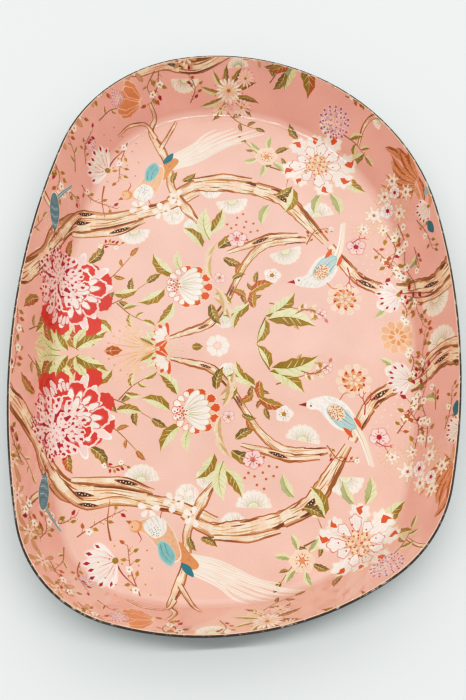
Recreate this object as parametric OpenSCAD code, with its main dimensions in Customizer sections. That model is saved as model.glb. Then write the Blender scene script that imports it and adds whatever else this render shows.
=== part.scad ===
// Pebble-shaped serving tray of pressed laminate.
// Four plies with one common section: a flat floor, a soft crease and a straight flared wall.
// The outline is seven circular arcs that run smoothly into each other.
// Frame: +Z up, origin at the middle of the outline's box on the table, longest side along Y.

/* [Tray] */
// Height of the rim above the table
tray_h = 48; // [36:1:70]
// Slope of the wall, measured from the floor
wall_angle = 63; // [50:1:80]
// Radius of the crease between floor and wall, on the underside
crease_r = 12; // [6:1:20]

/* [Plies] */
// Thickness of the black backing sheet
backing_t = 0.3; // [0.2:0.1:0.8]
// Thickness of the pressed core
core_t = 1.4; // [1:0.1:3]
// Thickness of the printed decor sheet
decor_t = 0.3; // [0.2:0.1:0.6]
// Thickness of the clear wear layer
overlay_t = 0.2; // [0.1:0.05:0.5]

/* [Outline] */
// Radius of the long right side
right_r = 526; // [520:1:532]
// Radius of the broad upper right shoulder
shoulder_r = 170; // [164:1:176]
// Radius of the upper left shoulder
crown_r = 122; // [116:1:128]
// Radius of the long left side
left_r = 576; // [570:1:582]
// Radius of the lower end
foot_r = 234; // [228:1:240]

/* [Hidden] */

// The bearings at which one arc of the outline hands over to the next.
turns = [-17, 7, 97, 159, 189, 251, 300];
n_arcs = len(turns);
function dir(a) = [cos(a), sin(a)];

// The two tight corners close the loop, so their radii follow from the other five.
lower_right = 0;
lower_left = 5;
given_r = [0, right_r, shoulder_r, crown_r, left_r, 0, foot_r];
function weight(i) = dir(turns[i]) - dir(turns[(i + n_arcs - 1) % n_arcs]);
function total(v, i = 0) = i == len(v) - 1 ? v[i] : v[i] + total(v, i + 1);
gap = total([for (i = [0:n_arcs - 1]) given_r[i] * weight(i)]);
w_a = weight(lower_right);
w_b = weight(lower_left);
det = w_a.x * w_b.y - w_a.y * w_b.x;
lower_right_r = (gap.y * w_b.x - gap.x * w_b.y) / det;
lower_left_r = (gap.x * w_a.y - gap.y * w_a.x) / det;
arc_r = [lower_right_r, right_r, shoulder_r, crown_r, left_r, lower_left_r, foot_r];

// Each centre lies on the ray that its arc shares with the arc before.
function chained(i) = i == 0 ? [0, 0]
    : chained(i - 1) + (arc_r[i - 1] - arc_r[i]) * dir(turns[i - 1]);
raw = [for (i = [0:n_arcs - 1]) chained(i)];
// The arcs that face +X, +Y, -X and -Y set the outline's box.
box_mid = [(raw[1].x + arc_r[1] + raw[4].x - arc_r[4]) / 2,
           (raw[2].y + arc_r[2] + raw[6].y - arc_r[6]) / 2];
arc_c = [for (c = raw) c - box_mid];
function arc_from(i) = i == 0 ? turns[n_arcs - 1] - 360 : turns[i - 1];

// Section of the wall, measured inwards from the outer rim line.
tray_t = backing_t + core_t + decor_t + overlay_t;
rim_z = tray_h - tray_t * cos(wall_angle);
wall_len = (rim_z - crease_r * (1 - cos(wall_angle))) / sin(wall_angle);
crease_x = wall_len * cos(wall_angle) + crease_r * sin(wall_angle);
// The curved solids take in this much of the flat floor.
floor_lap = 8;
crease_steps = 10;
arc_steps = 10;

// The section's line at depth d above the underside, from the floor out to the rim:
// x from the outer rim line, y the height.
function section(d) = concat(
    [[-crease_x - floor_lap, d]],
    [for (k = [0:crease_steps])
        let (a = wall_angle * k / crease_steps)
        [(crease_r - d) * sin(a) - crease_x, crease_r - (crease_r - d) * cos(a)]],
    [[-d * sin(wall_angle), rim_z + d * cos(wall_angle)]]);

// The stretch of one arc at distance inset inside the outer rim line.
function inset_arc(i, inset) = [for (k = [0:arc_steps])
    let (a = arc_from(i) + (turns[i] - arc_from(i)) * k / arc_steps)
    arc_c[i] + (arc_r[i] - inset) * dir(a)];

// Moves in whole millimetres, then in thousandths, then by the rest, so that arcs with far
// centres meet exactly.
module at(p, steps = [1, 0.001], k = 0) {
    if (k == len(steps))
        translate(p)
            children();
    else {
        part = [for (v = p) round(v / steps[k]) * steps[k]];
        translate(part)
            at(p - part, steps, k + 1)
                children();
    }
}

// One ply of the tray, from depth d0 to depth d1 above the underside.
module ply(d0, d1) {
    upper = section(d1);
    last = len(upper) - 1;
    for (i = [0:n_arcs - 1])
        at([arc_c[i].x, arc_c[i].y, 0])
            rotate_extrude(angle = turns[i] - arc_from(i), start = arc_from(i), $fn = 180)
                at([arc_r[i], 0])
                    polygon(concat(section(d0), [for (k = [0:last]) upper[last - k]]));
    floor_inset = crease_x + floor_lap / 2;
    translate([0, 0, d0])
        linear_extrude(d1 - d0)
            polygon([for (i = [0:n_arcs - 1]) for (p = inset_arc(i, floor_inset)) p]);
}

// Black balancing sheet that makes the underside and the back of the wall.
module backing_sheet() {
    color([0.09, 0.09, 0.10])
        ply(0, backing_t);
}

// Dark pressed core, seen only as the bare cut edge at the rim.
module core() {
    color([0.16, 0.13, 0.12])
        ply(backing_t, backing_t + core_t);
}

// Printed sheet with the flowering branches, across the floor and up the wall.
module decor_sheet() {
    color([0.92, 0.70, 0.64])
        ply(backing_t + core_t, tray_t - overlay_t);
}

// Clear hard layer over the print.
module clear_overlay() {
    color([1, 1, 1, 0.25])
        ply(tray_t - overlay_t, tray_t);
}

backing_sheet();
core();
decor_sheet();
clear_overlay();
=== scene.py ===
# %% [markdown]
# # A pebble-shaped serving tray with a printed face
# The tray is one thin board, pressed hot from stacked sheets: a black backing sheet, a dark core,
# a printed sheet and a clear wear layer. Its outline is seven arcs, its wall flares straight up,
# and a picture of flowering branches runs over the floor and up the wall, mirrored about a line
# across the tray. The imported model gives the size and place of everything. This script adds the
# looks: the picture as real coloured shapes in the mesh, the cut edge, and the finishes.

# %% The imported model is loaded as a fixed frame
import math
import random
from collections import namedtuple

import bmesh
import bpy
import numpy as np
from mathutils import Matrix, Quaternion, Vector
from mathutils.geometry import delaunay_2d_cdt


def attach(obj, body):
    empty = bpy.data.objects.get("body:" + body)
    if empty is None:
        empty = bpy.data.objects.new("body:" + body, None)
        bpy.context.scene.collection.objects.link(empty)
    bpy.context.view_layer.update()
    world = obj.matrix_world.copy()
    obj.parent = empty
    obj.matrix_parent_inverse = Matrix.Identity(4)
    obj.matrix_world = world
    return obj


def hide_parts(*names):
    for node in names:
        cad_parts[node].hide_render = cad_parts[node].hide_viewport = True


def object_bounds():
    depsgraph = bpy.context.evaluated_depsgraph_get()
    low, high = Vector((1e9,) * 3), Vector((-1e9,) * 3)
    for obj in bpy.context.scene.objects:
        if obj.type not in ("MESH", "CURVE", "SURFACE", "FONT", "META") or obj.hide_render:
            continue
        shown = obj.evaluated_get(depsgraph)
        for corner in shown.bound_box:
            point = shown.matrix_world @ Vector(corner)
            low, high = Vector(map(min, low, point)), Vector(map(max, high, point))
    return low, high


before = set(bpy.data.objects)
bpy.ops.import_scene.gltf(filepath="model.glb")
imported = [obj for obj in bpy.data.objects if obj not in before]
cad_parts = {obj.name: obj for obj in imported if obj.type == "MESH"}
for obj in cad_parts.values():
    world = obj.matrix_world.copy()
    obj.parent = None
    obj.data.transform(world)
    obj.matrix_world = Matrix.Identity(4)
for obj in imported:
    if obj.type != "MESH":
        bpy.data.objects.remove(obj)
bpy.context.view_layer.update()
CAD_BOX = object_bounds()
print("nodes:", sorted(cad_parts))
print("CAD box in metres:", [tuple(round(v, 4) for v in corner) for corner in CAD_BOX])

# %% [markdown]
# ## Section and outline
# Every ply has the same section: a flat floor, a crease that is a true arc, and a straight wall.
# The drawing is done in millimetres, because that is how a maker thinks of a tray, and only the
# finished points are turned into metres.

# %% Section of the pressed board
MM = 0.001
WALL_ANGLE = math.radians(63)
CREASE_R = 12.0
PLY_TOPS = {"backing_sheet": 0.3, "core": 1.7, "clear_overlay": 2.2}
BOARD_T = PLY_TOPS["clear_overlay"]
TRAY_H = CAD_BOX[1].z / MM
RIM_Z = TRAY_H - BOARD_T * math.cos(WALL_ANGLE)
WALL_LEN = (RIM_Z - CREASE_R * (1 - math.cos(WALL_ANGLE))) / math.sin(WALL_ANGLE)
CREASE_X = WALL_LEN * math.cos(WALL_ANGLE) + CREASE_R * math.sin(WALL_ANGLE)
FACE_R = CREASE_R - BOARD_T
CREASE_ARC = FACE_R * WALL_ANGLE
PRINT_REACH = CREASE_ARC + WALL_LEN
print(f"wall {WALL_LEN:.1f} mm long, crease starts {CREASE_X:.1f} mm inside the rim")


# %% Outline: seven arcs that run smoothly into each other
def unit(degrees):
    """The unit vector at a bearing, as a complex number, which is how the plan is drawn."""
    return complex(math.cos(math.radians(degrees)), math.sin(math.radians(degrees)))


TURNS = (-17, 7, 97, 159, 189, 251, 300)
ARC_FROM = (TURNS[-1] - 360,) + TURNS[:-1]
GIVEN_R = np.array([0, 526, 170, 122, 576, 0, 234], float)
LOWER_RIGHT, LOWER_LEFT = 0, 5

swing = np.array([unit(a) - unit(b) for a, b in zip(TURNS, ARC_FROM)])
left_over = (GIVEN_R * swing).sum()
tight = swing[[LOWER_RIGHT, LOWER_LEFT]]
ARC_R = GIVEN_R.copy()
ARC_R[[LOWER_RIGHT, LOWER_LEFT]] = np.linalg.solve(
    [tight.real, tight.imag], [-left_over.real, -left_over.imag])
steps = [(ARC_R[i - 1] - ARC_R[i]) * unit(TURNS[i - 1]) for i in range(1, len(TURNS))]
centres = np.cumsum([0j] + steps)
middle_x = (centres[1].real + ARC_R[1] + centres[4].real - ARC_R[4]) / 2
middle_y = (centres[2].imag + ARC_R[2] + centres[6].imag - ARC_R[6]) / 2
ARC_C = centres - complex(middle_x, middle_y)
print("corner radii:", ARC_R[[LOWER_RIGHT, LOWER_LEFT]].round(2))


def outline(beyond, per_arc=24):
    """Points of the outline, counter-clockwise, at a distance outside the start of the crease."""
    points = []
    for start, stop, centre, radius in zip(ARC_FROM, TURNS, ARC_C, ARC_R):
        for k in range(per_arc):
            bearing_k = start + (stop - start) * k / per_arc
            points.append(centre + (radius - CREASE_X + beyond) * unit(bearing_k))
    return np.array(points)


rim = outline(CREASE_X)
print(f"outline {np.ptp(rim.real):.2f} x {np.ptp(rim.imag):.2f} mm")

# %% [markdown]
# ## From the flat artwork to the pressed shape
# The picture is drawn flat, as the sheet is before it is pressed. Past the start of the crease,
# distance on the flat sheet becomes distance along the section. One function bends any flat
# point to its place on the tray, at any depth in the board, so the picture follows the wall.


# %% Bend flat artwork points on to the tray
def beyond_crease(points):
    """How far each flat point lies outside the crease line, and the outward direction there."""
    reach = np.full(len(points), -math.inf)
    outward = np.ones(len(points), complex)
    for start, stop, centre, radius in zip(ARC_FROM, TURNS, ARC_C, ARC_R):
        arm = points - centre
        ahead = (np.degrees(np.angle(arm)) - start) % 360
        excess = np.abs(arm) - (radius - CREASE_X)
        here = (ahead <= stop - start) & (excess > reach)
        reach[here] = excess[here]
        outward[here] = (arm / np.abs(arm))[here]
    return reach, outward


def pressed(points, depth=BOARD_T):
    """Places and normals in metres of flat points, at a depth above the underside."""
    points = np.asarray(points, complex)
    reach, outward = beyond_crease(points)
    reach = np.maximum(reach, 0)
    angle = np.minimum(reach / FACE_R, WALL_ANGLE)
    up_wall = np.maximum(reach - CREASE_ARC, 0)
    bend_r = CREASE_R - depth
    across = bend_r * np.sin(angle) + up_wall * math.cos(WALL_ANGLE)
    height = CREASE_R - bend_r * np.cos(angle) + up_wall * math.sin(WALL_ANGLE)
    plan = points + (across - reach) * outward
    places = np.stack([plan.real, plan.imag, height], 1) * MM
    inward = -outward * np.sin(angle)
    return places, np.stack([inward.real, inward.imag, np.cos(angle)], 1)


print("top of the rim:", pressed(outline(PRINT_REACH))[0][:, 2].max().round(5), "m")

# %% [markdown]
# ## Inks
# A print is a handful of flat inks. Naming them once keeps the picture in one key: a salmon
# ground, creams and blushes for blossom, olive and sage for leaves, browns for bark and a few
# touches of blue. Each is written as it would be mixed on screen and turned to linear light.

# %% Inks of the print
INKS = {
    "ground": "#F0BCAF", "cream": "#F3DBC2", "ivory": "#F5E7DA", "shell": "#F3CEB5",
    "blush": "#F3CEC6", "rose": "#D5837F", "peach": "#EBB295", "apricot": "#DE9B65",
    "tan": "#C99A70", "sand": "#D1AC84", "bark": "#9C6224", "umber": "#7B3E18",
    "soot": "#4A1C10", "olive": "#A2861E", "moss": "#816C16", "sage": "#E2DAB2",
    "celadon": "#B2B48A", "gold": "#B08C24", "red": "#D44634", "vermilion": "#D9642A",
    "crimson": "#AC1430", "rust": "#B86A22", "teal": "#31838C", "aqua": "#9FBEBA",
    "sky": "#8CB6B4", "powder": "#BCCEC8", "slate": "#55797F", "steel": "#7899A2",
    "lilac": "#D5B5C6",
}


def linear(hex_colour):
    """An sRGB hex colour as linear red, green and blue."""
    parts = [int(hex_colour[i:i + 2], 16) / 255 for i in (1, 3, 5)]
    return [v / 12.92 if v <= 0.04045 else ((v + 0.055) / 1.055) ** 2.4 for v in parts]


LINEAR_INKS = {name: linear(colour) for name, colour in INKS.items()}
print(len(INKS), "inks")

# %% [markdown]
# ## Drawing with shapes
# A picture like this could be a texture, but a texture has a resolution and this part has none.
# So each leaf, petal and stroke is a closed shape of flat ink. It also remembers where it starts
# and which way it grows, so that the ink can later be hatched and shaded along its own length.

# %% Shapes and how to move them
Shape = namedtuple("Shape", "points ink kind origin along")
KINDS = ("flat", "leaf", "bark", "petal", "plume")


def shape(points, ink, kind="flat", origin=0, along=1):
    """A closed patch of one ink. along is the vector from its start to its far end."""
    return Shape(np.asarray(points, complex), ink, kind, complex(origin), complex(along))


def moved(shapes, at, turn=0, size=1):
    """Copies of some shapes, scaled, turned and put somewhere."""
    spin = size * unit(turn)
    return [Shape(at + spin * s.points, s.ink, s.kind, at + spin * s.origin, spin * s.along)
            for s in shapes]


def bearing(z):
    """The bearing of a vector in degrees."""
    return math.degrees(math.atan2(z.imag, z.real))


def smooth(points, per=4, closed=True):
    """A smooth curve through a few points, by Catmull and Rom's cubic."""
    p = np.asarray(points, complex)
    if closed:
        a, b, c, d = np.roll(p, 1), p, np.roll(p, -1), np.roll(p, -2)
    else:
        q = np.concatenate([[2 * p[0] - p[1]], p, [2 * p[-1] - p[-2]]])
        a, b, c, d = q[:-3], q[1:-2], q[2:-1], q[3:]
    t = np.arange(per)[:, None] / per
    bend = (2 * a - 5 * b + 4 * c - d) * t**2 + (3 * b - a - 3 * c + d) * t**3
    curve = (0.5 * (2 * b + (c - a) * t + bend)).T.ravel()
    return curve if closed else np.append(curve, p[-1])


def sides(path):
    """Unit normals to the left of the way along a path."""
    step = np.gradient(path)
    return 1j * step / np.abs(step)


# %% Strokes and dots
def ribbon(path, widths, ink, kind="flat"):
    """A stroke of changing width as one closed shape."""
    path = np.asarray(path, complex)
    half = np.broadcast_to(np.asarray(widths, float) / 2, path.shape)
    left = sides(path) * half
    return shape(np.concatenate([path + left, (path - left)[::-1]]), ink, kind,
                 path[0], path[-1] - path[0])


def line(path, width, ink, taper=0.25, per=4):
    """A drawn line that thins towards its end."""
    p = smooth(path, per, closed=False)
    return ribbon(p, np.linspace(width, width * taper, len(p)), ink)


def spot(at, r, ink, corners=7):
    """A dot with a few corners."""
    return shape([at + r * unit(360 * k / corners) for k in range(corners)], ink)


GOLDEN_TURN = 137.5


def stipple(centre, r, count, size, ink, seed=3):
    """Dots spread evenly in a disc, by turning through the golden angle."""
    rng = random.Random(seed)
    dots = []
    for k in range(count):
        far = r * math.sqrt((k + 0.5) / count)
        turn = k * GOLDEN_TURN + rng.uniform(-9, 9)
        dots.append(spot(centre + far * unit(turn), size, ink, 5))
    return dots


# %% Leaves and petals
def leaf(length, width, bend=0.1, inks=("olive", "sage"), veins=3):
    """Two halves of different green on a curved midrib, with side veins."""
    s = np.linspace(0, 1, 8)
    spine = s * length + 1j * bend * length * 4 * s * (1 - s)
    half = width / 2 * np.sin(math.pi * s**0.82) ** 0.85
    left = sides(spine)
    shapes = []
    for side, ink in zip((1, -1), inks):
        edge = spine + side * left * half
        edge[2:-1:2] -= side * left[2:-1:2] * 0.09 * width
        shapes.append(shape(np.concatenate([spine, edge[::-1]]), ink, "leaf",
                            spine[0], length * unit(side * 38)))
        vein_ink = "cream" if ink in ("olive", "moss", "rust", "umber") else "celadon"
        for k in range(2, 2 + veins):
            tip = spine[k + 1] + side * left[k + 1] * half[k + 1] * 0.72
            shapes.append(ribbon([spine[k], tip], [0.035 * width, 0.012 * width], vein_ink))
    shapes.append(line(spine[:-1:2], 0.05 * width, "moss" if "sage" in inks else "cream"))
    return shapes


def petal(length, width, ink, edge=None, patch=None, lobes=3, ruffle=0.1, inner=0.86):
    """A petal that stands on the origin and grows along X, with a ruffled tip."""
    if length < 4:
        s = np.array([0.05, 0.5, 0.9, 1])
    elif length < 9:
        s = np.array([0.05, 0.35, 0.66, 0.85, 0.95, 1])
    elif length < 14:
        s = np.concatenate([np.linspace(0.04, 0.8, 5), np.linspace(0.86, 1, 4)])
    else:
        s = 1 - 0.96 * np.linspace(1, 0, 15) ** 1.8
    widest = 0.66
    taper = 0.4 + 0.6 * s / widest
    near = np.sqrt(np.clip(1 - ((s - widest) / widest) ** 2, 0, 1)) * taper
    far = np.sqrt(np.clip(1 - ((s - widest) / (1.005 - widest)) ** 2, 0, 1))
    upper = s * length + 0.5j * width * np.where(s > widest, far, near)
    edge_line = np.concatenate([upper, np.conj(upper)[::-1]])
    heart = 0.6 * length
    wave = 1 + ruffle * np.cos(2 * lobes * np.angle(edge_line - heart))
    tip = edge_line.real > 0.45 * length
    edge_line = np.where(tip, heart + (edge_line - heart) * wave, edge_line)
    shapes = []
    if edge:
        shapes.append(shape(edge_line, edge, "petal", 0, length))
        edge_line = heart + (edge_line - heart) * inner
    shapes.append(shape(edge_line, ink, "petal", 0, length))
    if patch:
        mark = np.array([0.56, 0.68 + 0.09j, 0.80 + 0.05j, 0.92 + 0.13j, 0.87 - 0.03j,
                         0.79 - 0.15j, 0.64 - 0.08j])
        shapes.append(shape(mark * length, patch, "petal", 0, length))
    return shapes


def ring(count, length, width, ink, edge=None, patch=None, base=0, start=0, sweep=360,
         wild=0.08, seed=1, **more):
    """Petals side by side round a centre, or round a part of it, laid in mixed order."""
    rng = random.Random(seed)
    step = sweep / count if sweep >= 360 else sweep / max(count - 1, 1)
    order = list(range(count))
    rng.shuffle(order)
    shapes = []
    for k in order:
        turn = start + k * step + rng.uniform(-1, 1) * wild * step
        size = 1 + rng.uniform(-1, 1) * wild
        one = petal(length, width, ink, edge, patch, **more)
        shapes += moved(one, base * unit(turn), turn, size)
    return shapes


print("a leaf is", len(leaf(20, 9)), "shapes and a ring of nine petals is",
      len(ring(9, 10, 6, "ivory", "rose")))

# %% [markdown]
# ## Boughs
# The boughs carry the whole composition. A bough is a pale ribbon that swells and narrows, with
# a darker upper edge, long broken strokes for the bark, and lens-shaped knots. Random numbers
# roughen it, each from its own fixed seed, so the picture is the same at every run.


# %% Boughs and twigs
def bough(path, widths, seed=1, knots=()):
    """A limb: brown edges, pale bark, broken strokes and knots at (share of length, size)."""
    rng = random.Random(seed)
    p = smooth(path, 6, closed=False)
    w = np.interp(np.linspace(0, 1, len(p)), np.linspace(0, 1, len(widths)), widths)
    n = sides(p)
    rough = np.array([rng.uniform(-0.11, 0.11) for _ in p]) * w
    shapes = [ribbon(p + n * 0.04 * w, w * 1.10 + rough + 0.8, "bark"),
              ribbon(p + n * 0.02 * w, w * 1.00 + rough, "tan")]
    for k in range(len(p) - 1):
        ends = slice(k, k + 2)
        upper = p[ends] + n[ends] * (w[ends] * 0.34 + rough[ends])
        lower = p[ends] - n[ends] * (w[ends] * 0.45 + rough[ends] / 2)
        ink = "shell" if (k // 3) % 2 else "cream"
        shapes.append(shape(np.concatenate([upper, lower[::-1]]), ink, "bark",
                            p[k], p[k + 1] - p[k]))
    for lane, thick in ((0.41, 0.22), (0.20, 0.09), (-0.02, 0.06), (-0.22, 0.08), (-0.42, 0.13)):
        k = rng.randint(0, 3)
        while k < len(p) - 4:
            stop = min(len(p) - 1, k + rng.randint(3, 7))
            part = slice(k, stop + 1)
            sway = rng.uniform(-0.07, 0.07) * np.sin(np.linspace(0, 5, stop + 1 - k))
            middle = p[part] + n[part] * w[part] * (lane + sway)
            swell = np.sin(np.linspace(0.3, 2.9, stop + 1 - k))
            ink = rng.choice(("umber", "bark", "bark", "tan", "tan"))
            shapes.append(ribbon(middle, w[k] * thick * swell, ink))
            k = stop + rng.randint(1, 4)
    lens = np.array([-1, -0.5 + 0.16j, 0.1 + 0.2j, 0.7 + 0.13j, 1,
                     0.5 - 0.14j, -0.1 - 0.2j, -0.7 - 0.12j])
    for share, size in knots:
        k = int(share * (len(p) - 1))
        way = -1j * n[k]
        shapes.append(shape(p[k] + way * smooth(lens * 1.3 * size, 2), "bark"))
        shapes.append(shape(p[k] + way * smooth(lens * size, 2), "soot"))
        for m in range(-2, 3):
            wobble = 0.05j * size * (-1) ** m
            shapes.append(spot(p[k] + way * (0.3 * m * size + wobble), 0.08 * size, "cream", 5))
    return shapes


def spray(path, seed=1, inks=("olive", "sage"), size=9, step=2, stalk="moss", spread=50,
          slim=0.42):
    """A stalk with leaves on both sides and one at its end."""
    rng = random.Random(seed)
    p = smooth(path, 4, closed=False)
    n = sides(p)
    shapes = []
    side = 1
    for k in range(2, len(p) - 1, step):
        grow = size * (1 - 0.4 * k / len(p)) * rng.uniform(0.8, 1.15)
        pair = inks if rng.random() < 0.7 else inks[::-1]
        turn = bearing(-1j * n[k]) + side * spread + rng.uniform(-10, 10)
        shapes += moved(leaf(grow, slim * grow, 0.12 * side, pair), p[k], turn)
        side = -side
    shapes.append(line(path, 1.0, stalk, 0.4))
    end = leaf(size * 0.9, slim * size * 0.9, 0.05, inks)
    return shapes + moved(end, p[-1], bearing(-1j * n[-1]))


def vine(path, seed=1, inks=("rust", "gold", "crimson", "olive"), size=3.2, step=2):
    """A thin stalk hung with small leaves, berries and blossoms."""
    rng = random.Random(seed)
    p = smooth(path, 5, closed=False)
    n = sides(p)
    shapes = [line(path, 0.9, "bark", 0.5)]
    for k in range(1, len(p), step):
        slant = rng.choice((-1, 1)) * rng.uniform(25, 70)
        way = -1j * n[k] * unit(slant)
        end = p[k] + way * size * rng.uniform(0.4, 1.1)
        shapes.append(line([p[k], end], 0.45, "moss", 0.6))
        pick = rng.random()
        ink = rng.choice(inks)
        turn = bearing(way) + rng.uniform(-30, 30)
        if pick < 0.66:
            blade = np.array([0, 0.3 + 0.3j, 0.66 + 0.2j, 1, 0.6 - 0.24j, 0.3 - 0.26j]) * size * 1.2
            shapes += moved([shape(blade, ink, "leaf", 0, size)], end, turn)
        elif pick < 0.86:
            shapes += [spot(end, 0.24 * size, "cream", 6), spot(end, 0.14 * size, ink, 5)]
        else:
            shapes += moved(blossom(0.7 * size, stamens=False), end, turn)
    return shapes


def coral(at, length, turn, depth=3, seed=1, width=1.0):
    """A small red sprig that forks again and again."""
    end = at + length * unit(turn)
    shapes = [line([at, (at + end) / 2 + 0.05j * length, end], width, "crimson", 0.6, 2)]
    if depth:
        for k, (fork, cut) in enumerate(((32, 0.72), (-28, 0.66))):
            turned = turn + fork + 7 * seed % 5
            shapes += coral(end, length * cut, turned, depth - 1, seed + k, width * 0.75)
    return shapes


# %% [markdown]
# ## Flowers
# Each kind of flower is one function with a radius, built from rings of petals, so a flower can
# be used large on the floor and small on the wall. The order of the rings is the order in which
# the petals overlap.


# %% Small flowers
def blossom(r, ink="ivory", heart="gold", edge="cream", count=5, seed=1, stamens=True):
    """An open flower of five round petals."""
    shapes = ring(count, r, r * 0.98, ink, edge, seed=seed, lobes=2)
    shapes.append(spot(0, 0.26 * r, heart, 8))
    for k in range(count if stamens else 0):
        way = unit(k * 360 / count)
        shapes.append(line([0.2 * r * way, 0.62 * r * way], 0.06 * r, "crimson", 0.3, 1))
        shapes.append(spot(0.5 * r * way * unit(36), 0.06 * r, "crimson", 5))
    return shapes


def fan_blossom(r, teeth=9, sweep=180):
    """A scalloped white disc, whole or in half, with fine grey-green spokes."""
    a = np.radians(np.linspace(0, sweep, teeth * 4 + 1))
    edge = r * (1 + 0.07 * np.abs(np.sin(a * teeth * 180 / sweep))) * np.exp(1j * a)
    shapes = [shape(np.append(edge * 1.05, 0), "cream"),
              shape(np.append(edge * 0.97, 0), "ivory", "petal", 0, 1j * r)]
    for k in range(2 * teeth - 1):
        way = unit(sweep * (k + 1) / (2 * teeth))
        reach = 0.86 if k % 2 else 0.7
        shapes.append(ribbon(np.array([0.3, reach]) * r * way, [0.5, 0.2], "celadon"))
    middle = np.exp(1j * np.radians(np.linspace(0, sweep, 9)))
    return shapes + [shape(np.append(0.24 * r * middle, 0), "sage")]


def daisy(r, count=17, ink="ivory", tip="rust", seed=2):
    """Narrow petals with dark tips round a green-gold eye."""
    shapes = ring(count, r, 0.22 * r, ink, "cream", seed=seed, lobes=1, ruffle=0)
    shapes += ring(count - 5, 0.6 * r, 0.18 * r, "shell", "sand", start=9, seed=seed + 1,
                   lobes=1, ruffle=0)
    shapes += [spot(0, 0.15 * r, "gold", 8), spot(0, 0.07 * r, "olive", 6)]
    shapes += [spot(1.06 * r * unit(k * 360 / count + 8), 0.05 * r, tip, 5)
               for k in range(count)]
    return shapes


def pompon(r, seed=3, ink="blush", dark="crimson"):
    """A ball of many small petals flecked with dark strokes."""
    shapes = []
    for k, (count, far) in enumerate(((15, 0.62), (12, 0.42), (9, 0.24), (5, 0.05))):
        shapes += ring(count, 0.40 * r, 0.24 * r, ink if k % 2 else "lilac", "ivory",
                       base=far * r, start=11 * k, seed=seed + k, lobes=2,
                       patch="crimson" if k < 2 else None)
    rng = random.Random(seed)
    fleck = np.array([-1, -0.2 + 0.45j, 1 + 0.1j, 0.1 - 0.4j]) * 0.08 * r
    for k in range(18):
        turn = k * GOLDEN_TURN
        far = 0.78 * r * math.sqrt((k + 1) / 19)
        shapes += moved([shape(fleck, dark)], far * unit(turn), turn + rng.uniform(60, 120))
    return shapes


def rosette(r, seed=2, inks=("apricot", "shell")):
    """Three rings of rounded petals with crimson flecks."""
    shapes = ring(10, 0.52 * r, 0.44 * r, inks[1], "cream", base=0.48 * r, seed=seed, lobes=3)
    shapes += ring(8, 0.45 * r, 0.34 * r, inks[0], "cream", base=0.22 * r, seed=seed + 1)
    shapes += ring(5, 0.34 * r, 0.26 * r, inks[1], "rust", base=0.02 * r, seed=seed + 2)
    fleck = np.array([0, 0.12 + 0.06j, 0.26, 0.12 - 0.06j]) * r
    for k in range(9):
        turn = 40 * k + 20
        shapes += moved([shape(fleck, "crimson")], 0.5 * r * unit(turn), turn + 50)
    return shapes


# %% Large flowers
def peony(r, seed=4):
    """A full flower: broad red petals parted by narrow pale ones, and a dome of small ones."""
    shapes = []
    for row, (count, far, length, width, ink, edge, ruffle) in enumerate((
            (7, 0.36, 0.66, 0.48, "red", None, 0.06), (9, 0.34, 0.52, 0.17, "blush", "ivory", 0.10),
            (6, 0.24, 0.50, 0.40, "red", "blush", 0.06), (10, 0.20, 0.44, 0.16, "ivory", "rose", 0.10),
            (6, 0.08, 0.40, 0.30, "red", "ivory", 0.06), (10, 0.02, 0.36, 0.14, "ivory", "rose", 0.10))):
        shapes += ring(count, length * r, width * r, ink, edge, base=far * r,
                       start=-120 + 9 * row, sweep=226 - 8 * row, seed=seed + row,
                       lobes=5 if width > 0.2 else 2, ruffle=ruffle, inner=0.8, wild=0.3)
    # Small petals that trail below the flower.
    shapes += ring(9, 0.30 * r, 0.13 * r, "blush", "crimson", base=0.56 * r, start=-140,
                   sweep=62, seed=seed, lobes=2, wild=0.3)
    rng = random.Random(seed)
    dome = complex(-0.40 * r, 0.12 * r)
    shapes.append(spot(dome, 0.56 * r, "rose", 16))
    shapes.append(spot(dome, 0.44 * r, "crimson", 16))
    for row, (count, far, length) in enumerate((
            (16, 0.42, 0.25), (13, 0.31, 0.23), (10, 0.21, 0.21), (8, 0.11, 0.18), (5, 0.01, 0.14))):
        shapes += moved(ring(count, length * r, 0.165 * r, "blush", "ivory", base=far * r,
                             start=17 * row, seed=seed + 5 + row, lobes=3, wild=0.2,
                             patch="crimson" if row < 2 else "rose"), dome)
    for _ in range(40):
        far = (0.46 + 0.26 * rng.random()) * r
        shapes.append(spot(dome + far * unit(rng.uniform(70, 270)), 0.026 * r, "crimson", 5))
    return shapes


def spotted_bloom(r, seed=2):
    """An open flower with pale ruffled petals and orange patches."""
    shapes = ring(8, 0.72 * r, 0.56 * r, "ivory", "shell", "vermilion", base=0.30 * r,
                  seed=seed, lobes=4, ruffle=0.14, inner=0.88, wild=0.22)
    shapes += ring(9, 0.50 * r, 0.32 * r, "ivory", "rose", base=0.22 * r, start=25,
                   seed=seed + 1, lobes=3, ruffle=0.12, inner=0.88, wild=0.2)
    shapes += ring(6, 0.28 * r, 0.2 * r, "shell", "apricot", base=0.05 * r, start=10,
                   seed=seed + 3)
    shapes += stipple(0, 0.34 * r, 20, 0.032 * r, "gold", seed)
    return shapes + stipple(0, 0.52 * r, 18, 0.024 * r, "crimson", seed + 1)


def side_bloom(r):
    """A flower from the side: long pale petals with crimson tips."""
    shapes = []
    for turn, size in ((-58, 0.8), (56, 0.8), (-38, 0.95), (34, 0.95), (-16, 1), (15, 1), (0, 0.9)):
        reach = r * size
        one = petal(reach, 0.34 * r, "ivory", "blush", lobes=1, ruffle=0.03)
        one.append(shape(np.array([0.74, 0.86 + 0.06j, 0.97, 0.86 - 0.06j]) * reach, "crimson"))
        one.append(line([0.15 * reach, 0.62 * reach], 0.03 * r, "rose"))
        shapes += moved(one, 0, turn)
    return shapes + [spot(0.04 * r, 0.10 * r, "olive", 7)]


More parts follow.
